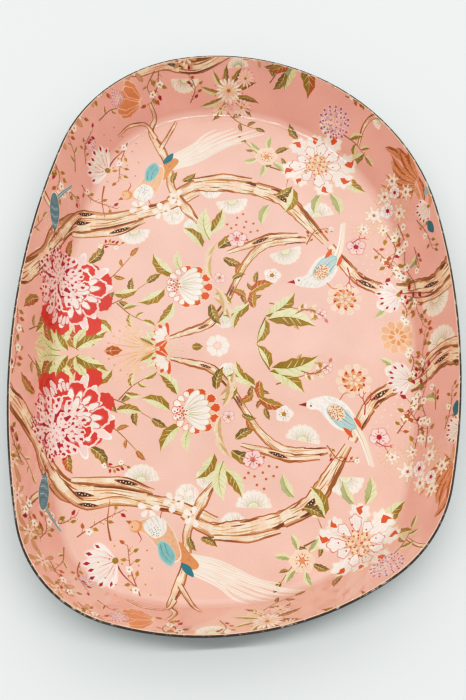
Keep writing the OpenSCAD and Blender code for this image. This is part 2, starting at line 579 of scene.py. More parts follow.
def cup_bloom(r, seed=2):
    """A half-open cup: pale striped petals inside orange ones."""
    shapes = ring(7, 0.52 * r, 0.42 * r, "vermilion", "cream", base=0.50 * r, start=-100,
                  sweep=200, seed=seed, lobes=4, ruffle=0.16)
    shapes += ring(8, 0.40 * r, 0.30 * r, "ivory", "vermilion", base=0.62 * r, start=110,
                   sweep=140, seed=seed + 4, lobes=4)
    for turn in (-74, 72, -50, 48, -26, 24, 0):
        one = petal(1.25 * r, 0.40 * r, "ivory", "sand", lobes=1, ruffle=0.02, inner=0.9)
        shapes += moved(one, -0.62 * r, turn * 0.62)
    for turn in (-44, -26, -9, 9, 26, 44):
        path = np.array([0.3, 0.7, 1.0]) * r * unit(turn * 0.7) - 0.62 * r
        shapes.append(line(path, 0.035 * r, "celadon"))
    return shapes + stipple(-0.66 * r, 0.30 * r, 16, 0.04 * r, "crimson", seed)


def frond_fan(r, count=9, start=-50, sweep=100, inks=("apricot", "cream")):
    """A fan of long curved blades."""
    shapes = []
    for k in range(count):
        share = 2 * k / (count - 1) - 1
        turn = start + sweep * k / (count - 1)
        tip = r * (1 - 0.25 * abs(share)) * unit(turn)
        path = [0, 0.45 * r * unit(turn * 0.8), tip]
        shapes.append(line(path, 0.045 * r, inks[1], 0.3))
        shapes.append(line(path, 0.024 * r, inks[0], 0.3))
        shapes.append(spot(tip, 0.022 * r, inks[0], 5))
    return shapes


print("a peony is", len(peony(30)), "shapes")

# %% [markdown]
# ## Birds
# Three plain garden birds, each a body, a wing and a tail of smooth shapes, drawn facing left.


# %% Birds
def pale_bird():
    """A plump white bird with a speckled blue wing and a long straight tail."""
    shapes = [ribbon(smooth([17 + 9j, 27 + 22j, 36 + 42j], 4, False),
                     np.linspace(5.4, 3.0, 9), "cream"),
              ribbon(smooth([16 + 10j, 26 + 23j, 34 + 41j], 4, False),
                     np.linspace(3.4, 2.0, 9), "ivory"),
              line([18 + 10j, 27 + 24j, 35 + 42j], 0.8, "apricot")]
    body = smooth([-19 + 1j, -15 + 4.5j, -9 + 4j, -3 + 9j, 4 + 15j, 12 + 17j, 19 + 14j,
                   20 + 8j, 15 + 0j, 7 - 6j, -3 - 8j, -12 - 5j, -17 - 2j])
    shapes += [shape(body * 1.04, "cream"), shape(body, "ivory", "plume", -19, 40 * unit(35))]
    wing = smooth([-3 + 3j, 2 + 10j, 9 + 15j, 17 + 16j, 21 + 13j, 17 + 6j, 9 - 1j, 1 - 3j])
    middle = 9 + 6j
    shapes += [shape(wing + 0.4j, "aqua"),
               shape(middle + (wing - middle) * 0.9, "powder", "plume", -3, 24 * unit(30))]
    shapes.append(shape(smooth([-2 + 2j, 2 + 8j, 8 + 10j, 12 + 6j, 8 - 0.5j, 1 - 2j]), "shell"))
    shapes += stipple(4.6 + 4.2j, 6.0, 34, 0.62, "rust", 5)
    shapes += stipple(4.6 + 4.2j, 5.4, 12, 0.5, "slate", 9)
    for k in range(5):
        low = 8 + k + (10 - 2.4 * k) * 1j
        high = 21 + (14.5 - 2 * k) * 1j
        shapes.append(line([low, (low + high) / 2 + 1j, high], 0.55, "slate" if k % 2 else "sky"))
    shapes += [shape(smooth([11 + 15j, 15 + 20j, 19 + 22j, 17 + 17j], 3), "vermilion"),
               shape(smooth([18 + 6j, 22 + 12j, 25 + 14j, 23 + 8j], 3), "vermilion"),
               shape([-18.5 + 3j, -24.5 + 2.4j, -18.5 - 0.6j], "crimson"),
               line([-18.5 + 1.4j, -24 + 2.3j], 0.4, "soot"),
               spot(-15 + 1.8j, 0.9, "rust", 8), spot(-15 + 1.8j, 0.5, "soot", 7),
               line([6 - 6j, 9 - 12j, 13 - 13j], 0.7, "rust", 0.6)]
    return shapes


def trailing_bird():
    """A peach and white bird with a blue wing and a long pale train."""
    shapes = []
    for k in range(11):
        lift = (k - 5) * 0.95
        reach = 90 - 6 * abs(k - 4) - 9 * (k % 3)
        path = [24 + (23 + lift) * 1j, 48 + (29 + 1.7 * lift) * 1j,
                26 + reach * 0.75 + (38 + 1.5 * lift) * 1j, 26 + reach + (41 + 1.8 * lift) * 1j]
        shapes += [line(path, 3.9, "cream", 0.2), line(path, 2.6, "ivory", 0.2),
                   line(path, 0.5, "peach", 0.4)]
    shapes.append(shape(smooth([14 + 14j, 20 + 22j, 30 + 28j, 34 + 24j, 27 + 17j, 19 + 9j]),
                        "apricot", "plume", 14 + 14j, 20 * unit(40)))
    body = smooth([-15 + 2j, -10 + 4j, -4 + 7j, 4 + 15j, 13 + 23j, 20 + 20j, 17 + 9j,
                   9 - 3j, 0 - 8j, -8 - 5j, -14 - 2j])
    breast = smooth([-8 - 3j, -7 + 3j, 1 + 8j, 8 + 3j, 7 - 5j, 0 - 8j])
    shapes += [shape(body * 1.04, "cream"), shape(body, "peach", "plume", -15, 36 * unit(45)),
               shape(breast, "ivory", "plume", -8, 16 * unit(60))]
    shapes += stipple(0.5 + 3j, 4.2, 18, 0.45, "slate", 4)
    wing = smooth([3 + 12j, 6 + 22j, 14 + 27j, 17 + 20j, 12 + 12j, 6 + 9j])
    middle = 10 + 17j
    shapes += [shape(wing, "aqua"),
               shape(middle + (wing - middle) * 0.84, "sky", "plume", 6 + 9j, 18 * unit(60)),
               line([5 + 12j, 8 + 19j, 13 + 24j], 0.4, "slate"),
               line([8 + 11j, 11 + 18j, 15 + 22j], 0.4, "slate"),
               shape(smooth([21 + 24j, 24 + 30j, 31 + 33j, 28 + 26j], 3), "teal"),
               spot(-14 + 0.6j, 4.6, "apricot", 12), spot(-15 + 0.4j, 3.7, "peach", 12),
               spot(-16.4 + 1.2j, 0.8, "shell", 8), spot(-16.4 + 1.2j, 0.55, "soot"),
               shape([-18.8 - 0.4j, -21.6 - 3j, -17 - 3.2j], "rust"),
               line([-12 + 4.5j, -9 + 9j, -10 + 12j], 0.8, "crimson"),
               line([3 - 7j, 4 - 12j, 8 - 13j], 0.7, "rust", 0.6)]
    return shapes


def small_bird():
    """A slim blue bird that hangs head down."""
    body = smooth([-3 + 12j, 1 + 14j, 5 + 9j, 7 - 1j, 5 - 10j, 1 - 16j, -3 - 8j, -5 + 2j])
    tail = [2 + 9j, 11 + 16j, 22 + 23j]
    shapes = [line(tail, 4.6, "cream", 0.5), line(tail, 3.6, "steel", 0.5),
              line(tail, 1.2, "powder", 0.5),
              shape(body * 1.06, "cream"), shape(body, "steel", "plume", 12j, -28j)]
    for k in range(7):
        path = [-3 + (6 - 3 * k) * 1j, 1 + (4 - 3 * k) * 1j, 5 + (5 - 3 * k) * 1j]
        shapes.append(line(path, 0.7, "powder" if k % 2 else "slate", 0.6))
    return shapes + [shape([1 - 15j, 0 - 20j, 3 - 14j], "umber"),
                     spot(2.2 - 12j, 0.7, "cream"), spot(2.2 - 12j, 0.4, "soot", 6)]


print("the birds are", len(pale_bird()), len(trailing_bird()), len(small_bird()), "shapes")

# %% [markdown]
# ## Composing the picture
# The design is symmetric, as a printed repeat often is, so only one half is drawn and the other
# is its mirror image. X runs across the tray and the imaginary part is the distance from the
# mirror line. Shapes are laid from the back forwards: boughs, leaves, flowers, then birds.

# %% Boughs and hanging twigs
picture = []


def put(shapes, at, turn=0, size=1):
    """Adds a motif to the picture."""
    picture.extend(moved(shapes, at, turn, size))


# Half and whole white discs that grow behind the boughs: place, turn, radius.
for at, turn, r in ((-75 + 104j, 180, 12), (6 + 128j, 185, 12), (75 + 109j, 5, 13),
                    (46 + 80j, 195, 12), (-30 + 244j, 180, 12), (-160 + 66j, 20, 12),
                    (170 + 20j, 180, 14), (97 + 192j, 120, 9), (150 + 186j, 60, 9),
                    (-178 + 60j, 200, 10), (168 + 184j, 200, 9), (20 + 252j, 0, 9)):
    put(fan_blossom(r), at, turn)
for at, r in ((-42 + 116j, 8), (-26 + 104j, 8), (-10 + 140j, 9), (-6 + 22j, 7), (52 + 130j, 7)):
    put(fan_blossom(r, 8, 360), at)

BOUGHS = (
    # the main limb from the left edge, and the strand twisted round it
    ([-196 + 44j, -176 + 56j, -155 + 76j, -142 + 96j, -122 + 110j, -96 + 112j, -62 + 119j],
     [15, 16, 13, 17, 14, 13, 6], 2, ((0.42, 7), (0.72, 7))),
    ([-72 + 118j, -56 + 122j, -40 + 128j, -22 + 137j], [8, 9, 9, 8], 19, ()),
    ([-152 + 82j, -140 + 96j, -118 + 118j, -92 + 117j, -66 + 124j], [5, 8, 6, 6, 2], 8,
     ((0.55, 6),)),
    ([-126 + 100j, -104 + 102j, -86 + 104j, -66 + 112j], [3, 6, 7, 3], 18, ((0.7, 7),)),
    # its middle, over the top of the arch, and down towards the right edge
    ([-46 + 130j, -28 + 141j, -8 + 143j, 14 + 140j, 32 + 135j], [4, 9, 12, 11, 10], 3, ()),
    ([-24 + 148j, 0 + 150j, 24 + 146j], [3, 5, 3], 4, ()),
    ([26 + 138j, 48 + 127j, 62 + 110j, 80 + 85j], [10, 12, 11, 5], 5, ((0.35, 7),)),
    ([83 + 82j, 92 + 66j, 104 + 50j, 118 + 42j, 128 + 38j], [5, 8, 9, 9, 5], 6, ((0.6, 7),)),
    ([132 + 42j, 150 + 38j, 168 + 32j, 182 + 34j, 198 + 42j], [7, 10, 13, 14, 15], 7,
     ((0.5, 7),)),
    ([140 + 32j, 156 + 24j, 176 + 22j, 196 + 28j], [2, 4, 5, 7], 17, ()),
    # the inner limb, its fork, and the upright and its twigs
    ([-50 + 8.5j, -34 + 13j, -18 + 19j, -6 + 33j, 4 + 52j, 14 + 70j, 28 + 84j, 46 + 89j,
      64 + 88j], [2, 5, 6, 4, 4, 5, 6, 8, 4], 9, ((0.22, 4), (0.47, 4))),
    ([0 + 80j, 18 + 86j, 36 + 92j, 58 + 93j], [2, 5, 6, 3], 10, ((0.55, 6),)),
    ([-62 + 222j, -55 + 208j, -58 + 196j, -50 + 178j, -44 + 160j, -43 + 142j, -32 + 122j,
      -22 + 108j], [2, 3, 4, 6, 5, 5, 7, 3], 11, ()),
    ([-50 + 180j, -40 + 198j, -36 + 206j], [3, 2.5, 1], 12, ()),
    ([-110 + 252j, -82 + 246j, -50 + 256j, -20 + 254j, 12 + 266j], [3, 6, 10, 12, 8], 13,
     ((0.6, 6),)),
    ([-88 + 190j, -78 + 200j, -62 + 202j, -54 + 190j], [1.2, 2.5, 2.2, 3], 14, ()),
    ([-176 + 134j, -164 + 120j, -150 + 110j], [3, 4, 2], 15, ()),
    ([120 + 170j, 130 + 184j, 142 + 190j, 156 + 184j, 170 + 170j], [1.5, 3, 4, 5, 4], 16, ()),
)
for path, widths, seed, knots in BOUGHS:
    picture += bough(path, widths, seed, knots)
print("boughs and discs:", len(picture), "shapes")

# %% Sprays and single leaves
SPRAYS = (
    ([-108 + 52j, -92 + 64j, -78 + 80j], 3, ("rust", "gold"), 12),
    ([-104 + 36j, -88 + 42j, -66 + 56j], 4, ("olive", "moss"), 16),
    ([-90 + 40j, -80 + 30j, -70 + 24j], 5, ("olive", "sage"), 13),
    ([6 + 30j, 16 + 40j, 20 + 52j], 6, ("olive", "moss"), 12),
    ([72 + 152j, 52 + 158j, 34 + 168j, 22 + 182j], 12, ("olive", "moss"), 12),
    ([6 + 214j, 18 + 202j, 30 + 196j], 21, ("moss", "olive"), 11),
    ([108 + 182j, 118 + 172j, 124 + 160j], 22, ("sage", "olive"), 14),
    ([-60 + 250j, -66 + 236j, -60 + 226j], 23, ("olive", "sand"), 9),
    ([-132 + 150j, -136 + 164j, -146 + 176j], 24, ("gold", "sage"), 9),
    ([-112 + 200j, -100 + 212j, -84 + 214j], 25, ("rust", "sage"), 9),
    ([48 + 236j, 56 + 246j, 50 + 256j], 26, ("olive", "moss"), 12),
    ([-170 + 10j, -158 + 16j, -146 + 12j], 27, ("sand", "olive"), 11),
    ([-186 + 84j, -172 + 92j, -164 + 102j], 28, ("gold", "sage"), 9),
)
for path, seed, inks, size in SPRAYS:
    picture += spray(path, seed, inks, size)
for path, seed in (([30 + 34j, 44 + 30j, 60 + 26j], 31), ([34 + 22j, 48 + 16j, 62 + 18j], 32)):
    picture += spray(path, seed, ("gold", "sand"), 8)

GREENS = {"o": ("olive", "sage"), "s": ("sage", "olive"), "p": ("sage", "sage"),
          "m": ("olive", "moss"), "r": ("rust", "gold"), "b": ("rust", "olive"),
          "c": ("sage", "celadon")}
# Place, turn, length and pair of greens.
LEAVES = (
    (26 + 23j, 38, 32, "s"), (28 + 20j, -12, 38, "s"), (26 + 20j, 244, 22, "o"),
    (18 + 30j, 84, 18, "r"), (14 + 34j, 200, 24, "o"), (16 + 44j, 20, 22, "r"),
    (12 + 40j, 150, 14, "r"),
    (6 + 28j, 250, 16, "o"), (-14 + 98j, 62, 26, "o"), (-14 + 92j, 92, 30, "p"),
    (-8 + 84j, 20, 24, "m"), (-4 + 76j, 335, 18, "m"), (-20 + 86j, 130, 24, "s"),
    (-44 + 62j, 128, 26, "o"), (-38 + 66j, 96, 18, "p"), (-52 + 50j, 205, 24, "o"),
    (-46 + 38j, 232, 22, "s"), (-16 + 36j, 290, 20, "m"), (-12 + 44j, 320, 16, "o"),
    (6 + 60j, 60, 12, "r"), (2 + 56j, 20, 12, "m"), (-128 + 78j, 80, 18, "b"),
    (-112 + 76j, 50, 20, "m"), (-92 + 48j, 10, 20, "s"), (-160 + 38j, 215, 22, "r"),
    (-150 + 32j, 240, 26, "s"), (-138 + 26j, 262, 24, "p"), (-128 + 24j, 290, 24, "r"),
    (-118 + 24j, 300, 20, "o"), (-142 + 22j, 225, 30, "p"), (-108 + 26j, 320, 18, "o"),
    (92 + 178j, 70, 18, "b"), (104 + 160j, 10, 22, "s"), (100 + 148j, -45, 26, "o"),
    (80 + 130j, -110, 20, "c"), (88 + 130j, -75, 22, "c"), (58 + 136j, 245, 24, "o"),
    (66 + 184j, 112, 16, "m"), (42 + 130j, 30, 18, "m"), (36 + 122j, 250, 20, "c"),
    (-34 + 148j, 30, 14, "m"), (-42 + 146j, 65, 12, "m"), (78 + 252j, 235, 30, "c"),
    (82 + 254j, 268, 36, "b"), (92 + 250j, 300, 32, "s"), (104 + 244j, 322, 28, "s"),
    (72 + 256j, 200, 26, "r"), (64 + 244j, 225, 20, "m"), (112 + 232j, 300, 22, "c"),
    (-112 + 4j, 40, 20, "s"), (-134 + 4j, 60, 24, "p"), (-140 + 6j, 120, 22, "r"),
    (-56 + 3j, 68, 15, "o"), (-58 + 3j, 100, 15, "s"), (-60 + 3j, 126, 15, "p"),
    (-62 + 3j, 150, 14, "o"), (122 + 26j, 220, 14, "c"), (146 + 56j, 30, 16, "c"),
)
for at, turn, length, greens in LEAVES:
    bend = 0.12 if turn % 4 < 2 else -0.1
    put(leaf(length, 0.42 * length, bend, GREENS[greens]), at, turn)
# Long narrow autumn leaves on the right wall.
for at, turn, length in ((146 + 162j, -52, 34), (158 + 158j, -72, 32), (166 + 142j, -98, 34),
                         (172 + 128j, -84, 30), (154 + 142j, -112, 28), (176 + 150j, -60, 24),
                         (182 + 116j, -95, 24), (150 + 150j, -95, 22), (164 + 124j, -70, 22)):
    inks = ("rust", "apricot") if length > 28 else ("apricot", "sand")
    put(leaf(length, 0.2 * length, 0.1, inks, veins=2), at, turn)
for k in range(7):
    # their fan, which opens towards the middle of the tray
    turn = 98 + 12 * k
    put(leaf(32 + 4 * (k % 3), 6.5, 0.08, ("rust", "apricot"), veins=2),
        176 + 116j + 7 * unit(turn), turn)
print("with foliage:", len(picture), "shapes")

# %% Large flowers and their neighbours
put(peony(36), -126 + 52j, -16)
put(cup_bloom(18), -32 + 52j, -6)
for at, turn in ((-16 + 66j, 70), (-14 + 56j, 84), (-14 + 42j, -62), (-12 + 50j, -80)):
    put(leaf(26, 6, 0.16, ("shell", "sand")), at, turn)
picture += [line([40 + 158j, 56 + 152j, 72 + 154j], 1.3, "moss"),
            line([56 + 152j, 52 + 138j], 1.0, "moss"),
            line([-96 + 158j, -90 + 170j, -78 + 182j], 1.3, "umber"),
            line([-98 + 146j, -100 + 132j, -98 + 116j], 1.4, "bark")]
put(spotted_bloom(29), 80 + 158j)
for turn in (20, 75, 130, 190, 250, 310):
    greens = "c" if turn % 20 else "m"
    put(leaf(13, 5.5, 0.1, GREENS[greens]), 38 + 168j + 8 * unit(turn), turn)
put(blossom(9, "shell", "apricot", "cream", 6), 38 + 168j)
put(rosette(14), 90 + 34j)
put(pompon(15), 102 + 194j)
put(side_bloom(25), -94 + 160j, 162)
for at, r, ink, heart in ((104 + 80j, 8, "blush", "crimson"), (8 + 92j, 8, "blush", "rose"),
                          (34 + 58j, 7, "ivory", "gold"), (-8 + 58j, 5, "blush", "gold"),
                          (66 + 256j, 9, "blush", "crimson"), (96 + 254j, 8, "ivory", "crimson"),
                          (124 + 30j, 10, "ivory", "blush"), (70 + 23j, 5, "blush", "rose")):
    put(blossom(r, ink, heart, "rose" if ink == "blush" else "cream"), at, r * 20)
put(side_bloom(19), 134 + 36j, 190)
picture += coral(95 + 62j, 8, -80, 3, 2, 1.2)
picture += coral(102 + 84j, 6, 30, 2, 4)
# Chrysanthemums at the narrow end, with their narrow leaves.
for turn in (200, 235, 160, -20, -50, 20, 60, 120, 90):
    greens = "m" if turn % 40 else "s"
    put(leaf(22, 5.5, 0.08, GREENS[greens]), 10 + 228j + 6 * unit(turn), turn)
for at, r, count, ink in ((10 + 232j, 12, 17, "ivory"), (26 + 242j, 8, 13, "blush"),
                          (2 + 216j, 7, 11, "shell"), (20 + 216j, 8, 12, "blush")):
    put(daisy(r, count, ink, "crimson" if ink == "blush" else "rust"), at)
# Dull gold stars with a crimson eye along the wall.
for k, at in enumerate((-186 + 96j, -182 + 122j, -170 + 148j, -158 + 172j, -146 + 198j,
                        -126 + 222j, -84 + 250j, -30 + 262j, 40 + 262j, 136 + 222j)):
    put(ring(6, 11, 4.4, "sand", "gold", base=3, start=25 * k, seed=k, wild=0.3), at)
    put(ring(6, 6, 3, "cream", "tan", base=1.5, start=25 * k + 30, seed=k + 3), at)
    put(blossom(3, "blush", "crimson", "cream", stamens=False), at)
# White buds on the main limb.
for k, at in enumerate((-70 + 124j, -52 + 120j, -38 + 132j, -44 + 118j)):
    put(ring(4, 7, 5, "ivory", "shell", base=1, start=40 * k, sweep=200, seed=k), at)
# A hanging bell and its buds at the upper left.
put(ring(7, 24, 10, "apricot", "shell", base=4, start=-34, sweep=68, lobes=2), -66 + 222j, 180)
put(pompon(8, 8, "blush"), -96 + 222j)
put(pompon(7, 4, "blush"), -118 + 178j)
# Clusters of small cream blossom beside the right wall.
for at, r in ((122 + 108j, 9), (134 + 122j, 9), (146 + 104j, 9), (158 + 118j, 8),
              (112 + 96j, 6), (146 + 132j, 8), (128 + 94j, 6), (140 + 88j, 6)):
    put(frond_fan(r * 2.0, 11, -110, 220, ("tan", "cream")), at, r * 37)
    put(ring(7, 0.8 * r, 0.34 * r, "cream", "tan", base=0.2 * r, seed=r), at)
    put(blossom(0.55 * r, "ivory", "rust", "shell", 5), at, r * 20)
for at, r in ((134 + 110j, 7), (146 + 122j, 6)):
    put(blossom(r, "ivory", "crimson", "lilac", 6), at, 15)
print("with flowers:", len(picture), "shapes")

# %% Vines, berries and scattered buds
VINES = (
    ([-78 + 186j, -84 + 168j, -86 + 150j], 3, 4), ([-122 + 142j, -106 + 132j, -88 + 124j], 4, 4),
    ([64 + 84j, 72 + 96j, 84 + 98j], 6, 3), ([118 + 78j, 128 + 66j, 140 + 54j], 7, 4),
    ([142 + 96j, 146 + 78j, 142 + 58j, 150 + 40j, 148 + 20j, 154 + 2j], 5, 5),
    ([130 + 92j, 136 + 76j, 130 + 60j, 136 + 48j], 51, 5), ([156 + 70j, 158 + 52j], 52, 4),
    ([-56 + 250j, -56 + 236j, -60 + 222j], 11, 5), ([-130 + 210j, -118 + 222j, -104 + 234j], 12, 5),
    ([-150 + 170j, -142 + 186j, -134 + 198j], 13, 5), ([-176 + 96j, -186 + 80j, -192 + 62j], 14, 5),
    ([-158 + 150j, -150 + 140j, -152 + 124j], 15, 5), ([-188 + 30j, -184 + 16j, -186 + 2j], 53, 5),
    ([-172 + 120j, -168 + 136j, -158 + 150j], 54, 5), ([-146 + 128j, -134 + 132j, -122 + 126j], 55, 4),
    ([-120 + 160j, -124 + 174j, -118 + 190j], 56, 4), ([-24 + 222j, -20 + 236j, -28 + 250j], 57, 4),
    ([132 + 8j, 138 + 20j, 134 + 32j], 58, 4), ([164 + 90j, 172 + 76j, 176 + 60j], 59, 4),
    ([118 + 214j, 130 + 206j, 142 + 200j], 60, 4), ([-104 + 88j, -96 + 92j, -88 + 90j], 61, 3),
)
for path, seed, size in VINES:
    picture += vine(path, seed, size=size, step=1)
picture += vine([50 + 24j, 60 + 27j, 72 + 20j], 16, ("cream", "rose", "gold", "sage"), 4, 1)
picture += stipple(12 + 102j, 14, 14, 1.1, "rust", 6)
picture += stipple(118 + 60j, 18, 26, 0.7, "cream", 7)
picture += stipple(-150 + 100j, 12, 22, 0.7, "blush", 8)
picture += stipple(-90 + 172j, 26, 20, 0.7, "gold", 9)

# %% Fronds and blossoms that meet on the mirror line
for at, r, turn, inks in ((-60, 40, 180, ("apricot", "shell")), (-64, 30, 180, ("peach", "shell")),
                          (-58, 20, 0, ("sand", "cream")), (-70 + 14j, 26, 160, ("peach", "shell"))):
    put(frond_fan(r, 9, -40, 80, inks), at, turn)
put(ring(6, 13, 3.6, "vermilion", "shell", base=1, start=-70, sweep=140, lobes=1), -50 + 8j, 165)
put(ring(5, 9, 4, "ivory", "shell", base=1, start=-50, sweep=100, lobes=1), -52 + 9j, 150)
put(ring(9, 6.5, 5.5, "ivory", "cream", base=2.5), -13)
put([spot(0, 2.2, "shell", 9)], -13)
put(leaf(9, 7, 0, ("olive", "olive"), 0), -33)
picture.append(line([26 + 22j, 20 + 10j, 18], 1.1, "moss"))
put(leaf(14, 9, 0, ("rust", "rust"), 1), -100)
for at, turn, length, greens in ((-122 + 3j, 62, 20, "p"), (-122 + 3j, 20, 24, "o"),
                                 (-128 + 2j, 118, 20, "s"), (-134 + 2j, 160, 24, "p")):
    put(leaf(length, 0.44 * length, 0.1, GREENS[greens]), at, turn)
put(ring(10, 11, 7, "peach", "shell", base=3), 128)
put(ring(8, 6, 4, "apricot", "shell", base=1.5), 128)

# %% Birds
put(small_bird(), -152 + 112j, 8)
put(trailing_bird(), -66 + 138j, 8)
put(pale_bird(), 70 + 54j, 12)
# the pale side flower and a blue wing on the right wall
put(side_bloom(16), 180 + 96j, 196)
put([shape(smooth([0, 4 + 3j, 10 + 2j, 12 - 1j, 6 - 4j]), "teal", "plume", 0, 12)], 176 + 84j, -70)
put([shape(smooth([0, 3 + 2j, 9 + 1j, 4 - 3j]), "aqua", "plume", 0, 9)], 178 + 106j, 60)

print("half of the picture:", len(picture), "shapes,",
      sum(len(s.points) for s in picture), "points")

# %% [markdown]
# ## From shapes to one sheet
# Overlapping shapes can't simply lie on each other: they would flicker. A constrained Delaunay
# triangulation cuts the flat sheet along every drawn edge instead. Each triangle then takes the
# topmost shape that covers its middle. Hidden edges are dropped and the sheet is cut once more,
# so only the lines that show cost any triangles.

# %% Mirror the half picture and keep what lies on the sheet
MIRROR_Y = -8.5
RIM_ROUND = 0.25
SHEET_REACH = PRINT_REACH - RIM_ROUND


def both_halves(shapes):
    """Each shape and its mirror image, where they reach the sheet."""
    twins = []
    for s in shapes:
        for mirror in (lambda z: z, np.conj):
            points, origin, along = mirror(s.points), mirror(s.origin), mirror(s.along)
            twins.append(Shape(points + 1j * MIRROR_Y, s.ink, s.kind,
                               origin + 1j * MIRROR_Y, along))
    starts = np.cumsum([0] + [len(s.points) for s in twins[:-1]])
    reach = beyond_crease(np.concatenate([s.points for s in twins]))[0]
    nearest = np.minimum.reduceat(reach, starts)
    return [s for s, near in zip(twins, nearest) if near < SHEET_REACH]


shapes = both_halves(picture)
print("shapes on the sheet:", len(shapes))


# %% Cut the plane along lines
def cut_plane(points, edges, snap=0.004):
    """Triangles of the plane that have all these edges, as points and corner numbers."""
    flat = [Vector((z.real, z.imag)) for z in points]
    places, _, corners, *_ = delaunay_2d_cdt(flat, edges.tolist(), [], 0, snap, False)
    places = np.array([complex(*v) for v in places])
    return places, np.array(corners)


def closed_edges(loops):
    """The edges of some closed loops, numbered as their points are laid end to end."""
    edges = []
    first = 0
    for loop in loops:
        ring_ids = first + np.arange(len(loop))
        edges.append(np.stack([ring_ids, np.roll(ring_ids, -1)], 1))
        first += len(loop)
    return np.concatenate(edges)


def inside(loop, points):
    """Which points a closed loop goes round, by its winding number."""
    a = loop[:, None] - points[None]
    b = np.roll(a, -1, 0)
    turn = a.real * b.imag - a.imag * b.real
    rising = ((a.imag <= 0) & (b.imag > 0) & (turn > 0)).sum(0)
    falling = ((a.imag > 0) & (b.imag <= 0) & (turn < 0)).sum(0)
    return rising != falling


def painted(middles, shapes):
    """The number of the topmost shape over each point, or -1 for the bare ground."""
    order = np.argsort(middles.real)
    ranked = middles[order]
    top = np.full(len(middles), -1)
    for number, s in enumerate(shapes):
        low, high = np.searchsorted(ranked.real, [s.points.real.min(), s.points.real.max()])
        near = ranked[low:high]
        level = (near.imag >= s.points.imag.min()) & (near.imag <= s.points.imag.max())
        level = np.flatnonzero(level)
        covered = level[inside(s.points, near[level])]
        top[order[low + covered]] = number
    return top


# Ring lines bend the sheet at the crease and keep long triangles off the round wall.
CREASE_STEPS = 10
ring_reach = [CREASE_ARC * k / CREASE_STEPS for k in range(CREASE_STEPS + 1)]
ring_reach += [CREASE_ARC + WALL_LEN / 3, CREASE_ARC + WALL_LEN * 2 / 3, SHEET_REACH]
rings = [outline(reach) for reach in ring_reach]
loops = rings + [s.points for s in shapes]
places, corners = cut_plane(np.concatenate(loops), closed_edges(loops))
print("first cut:", len(places), "points,", len(corners), "triangles")


# %% Paint, drop the hidden edges and cut again
def on_sheet(places, corners, unsure_mm=1):
    """Only the triangles inside the sheet's own edge, tested point by point close to it."""
    middles = places[corners].mean(1)
    reach = beyond_crease(middles)[0]
    keep = reach < SHEET_REACH - unsure_mm
    unsure = np.flatnonzero(np.abs(reach - SHEET_REACH) <= unsure_mm)
    keep[unsure] = inside(rings[-1], middles[unsure])
    return corners[keep]


def edge_pairs(corners):
    """Each inner edge's two ends and the two triangles that share it, and the outer edges."""
    ends = np.concatenate([corners[:, [0, 1]], corners[:, [1, 2]], corners[:, [2, 0]]])
    owner = np.tile(np.arange(len(corners)), 3)
    ranked = np.sort(ends, 1)
    order = np.lexsort((ranked[:, 1], ranked[:, 0]))
    same = (np.diff(ranked[order], axis=0) == 0).all(1)
    first, second = order[:-1][same], order[1:][same]
    alone = np.ones(len(ends), bool)
    alone[first] = alone[second] = False
    return ends[first], owner[first], owner[second], ends[alone]


corners = on_sheet(places, corners)
cover = painted(places[corners].mean(1), shapes)
ink_names = sorted(INKS)
ink_of = np.array([ink_names.index(s.ink) for s in shapes] + [-1])
is_flat = np.array([s.kind == "flat" for s in shapes] + [True])
look = np.where(is_flat[cover], -1 - ink_of[cover], cover)
ends, one, other, _ = edge_pairs(corners)
seen = ends[look[one] != look[other]]


NO_LENGTH = 1e-9


def straightened(places, edges, slack=0.05, rounds=5):
    """The edges without the points that lie almost on the line between their two neighbours."""
    for _ in range(rounds):
        meetings = np.bincount(edges.ravel(), minlength=len(places))
        flipped = np.concatenate([edges, edges[:, ::-1]])
        flipped = flipped[np.argsort(flipped[:, 0], kind="stable")]
        first = np.searchsorted(flipped[:, 0], np.arange(len(places)))
        between = np.flatnonzero(meetings == 2)
        before, after = flipped[first[between], 1], flipped[first[between] + 1, 1]
        chord = places[after] - places[before]
        arm = places[between] - places[before]
        off = np.abs((np.conj(chord) * arm).imag) / np.maximum(np.abs(chord), NO_LENGTH)
        loose = (off < slack) & (before != after)
        # Two neighbours never go in the same round: the one with the lower number goes first.
        candidate = np.zeros(len(places), bool)
        candidate[between[loose]] = True
        lowest = loose & ~(candidate[before] & (before < between))
        lowest &= ~(candidate[after] & (after < between))
        gone = np.zeros(len(places), bool)
        gone[between[lowest]] = True
        kept = edges[~(gone[edges[:, 0]] | gone[edges[:, 1]])]
        joined = np.stack([before[lowest], after[lowest]], 1)
        edges = np.concatenate([kept, joined])
    return edges


drawn = straightened(places, seen)
print("drawn edges:", len(seen), "of which needed:", len(drawn))
used, renumbered = np.unique(drawn, return_inverse=True)
ring_points = np.concatenate(rings)
edges = np.concatenate([closed_edges(rings), renumbered.reshape(-1, 2) + len(ring_points)])
# Nothing lies outside the sheet now, and its outline is convex, so every triangle is part of it.
places, corners = cut_plane(np.concatenate([ring_points, places[used]]), edges)
cover = painted(places[corners].mean(1), shapes)
print("second cut:", len(corners), "triangles")

# %% [markdown]
# ## Press the sheet
# The flat triangles are bent on to the tray and closed into a thin shell: the printed top, a
# rounded rim where the clear layer is worn, and a plain underside that lies on the core. The
# normals come from the section's own formula, so the crease shades as a true arc. Each corner
# stores its ink and its place along the shape it belongs to, for the material to read.


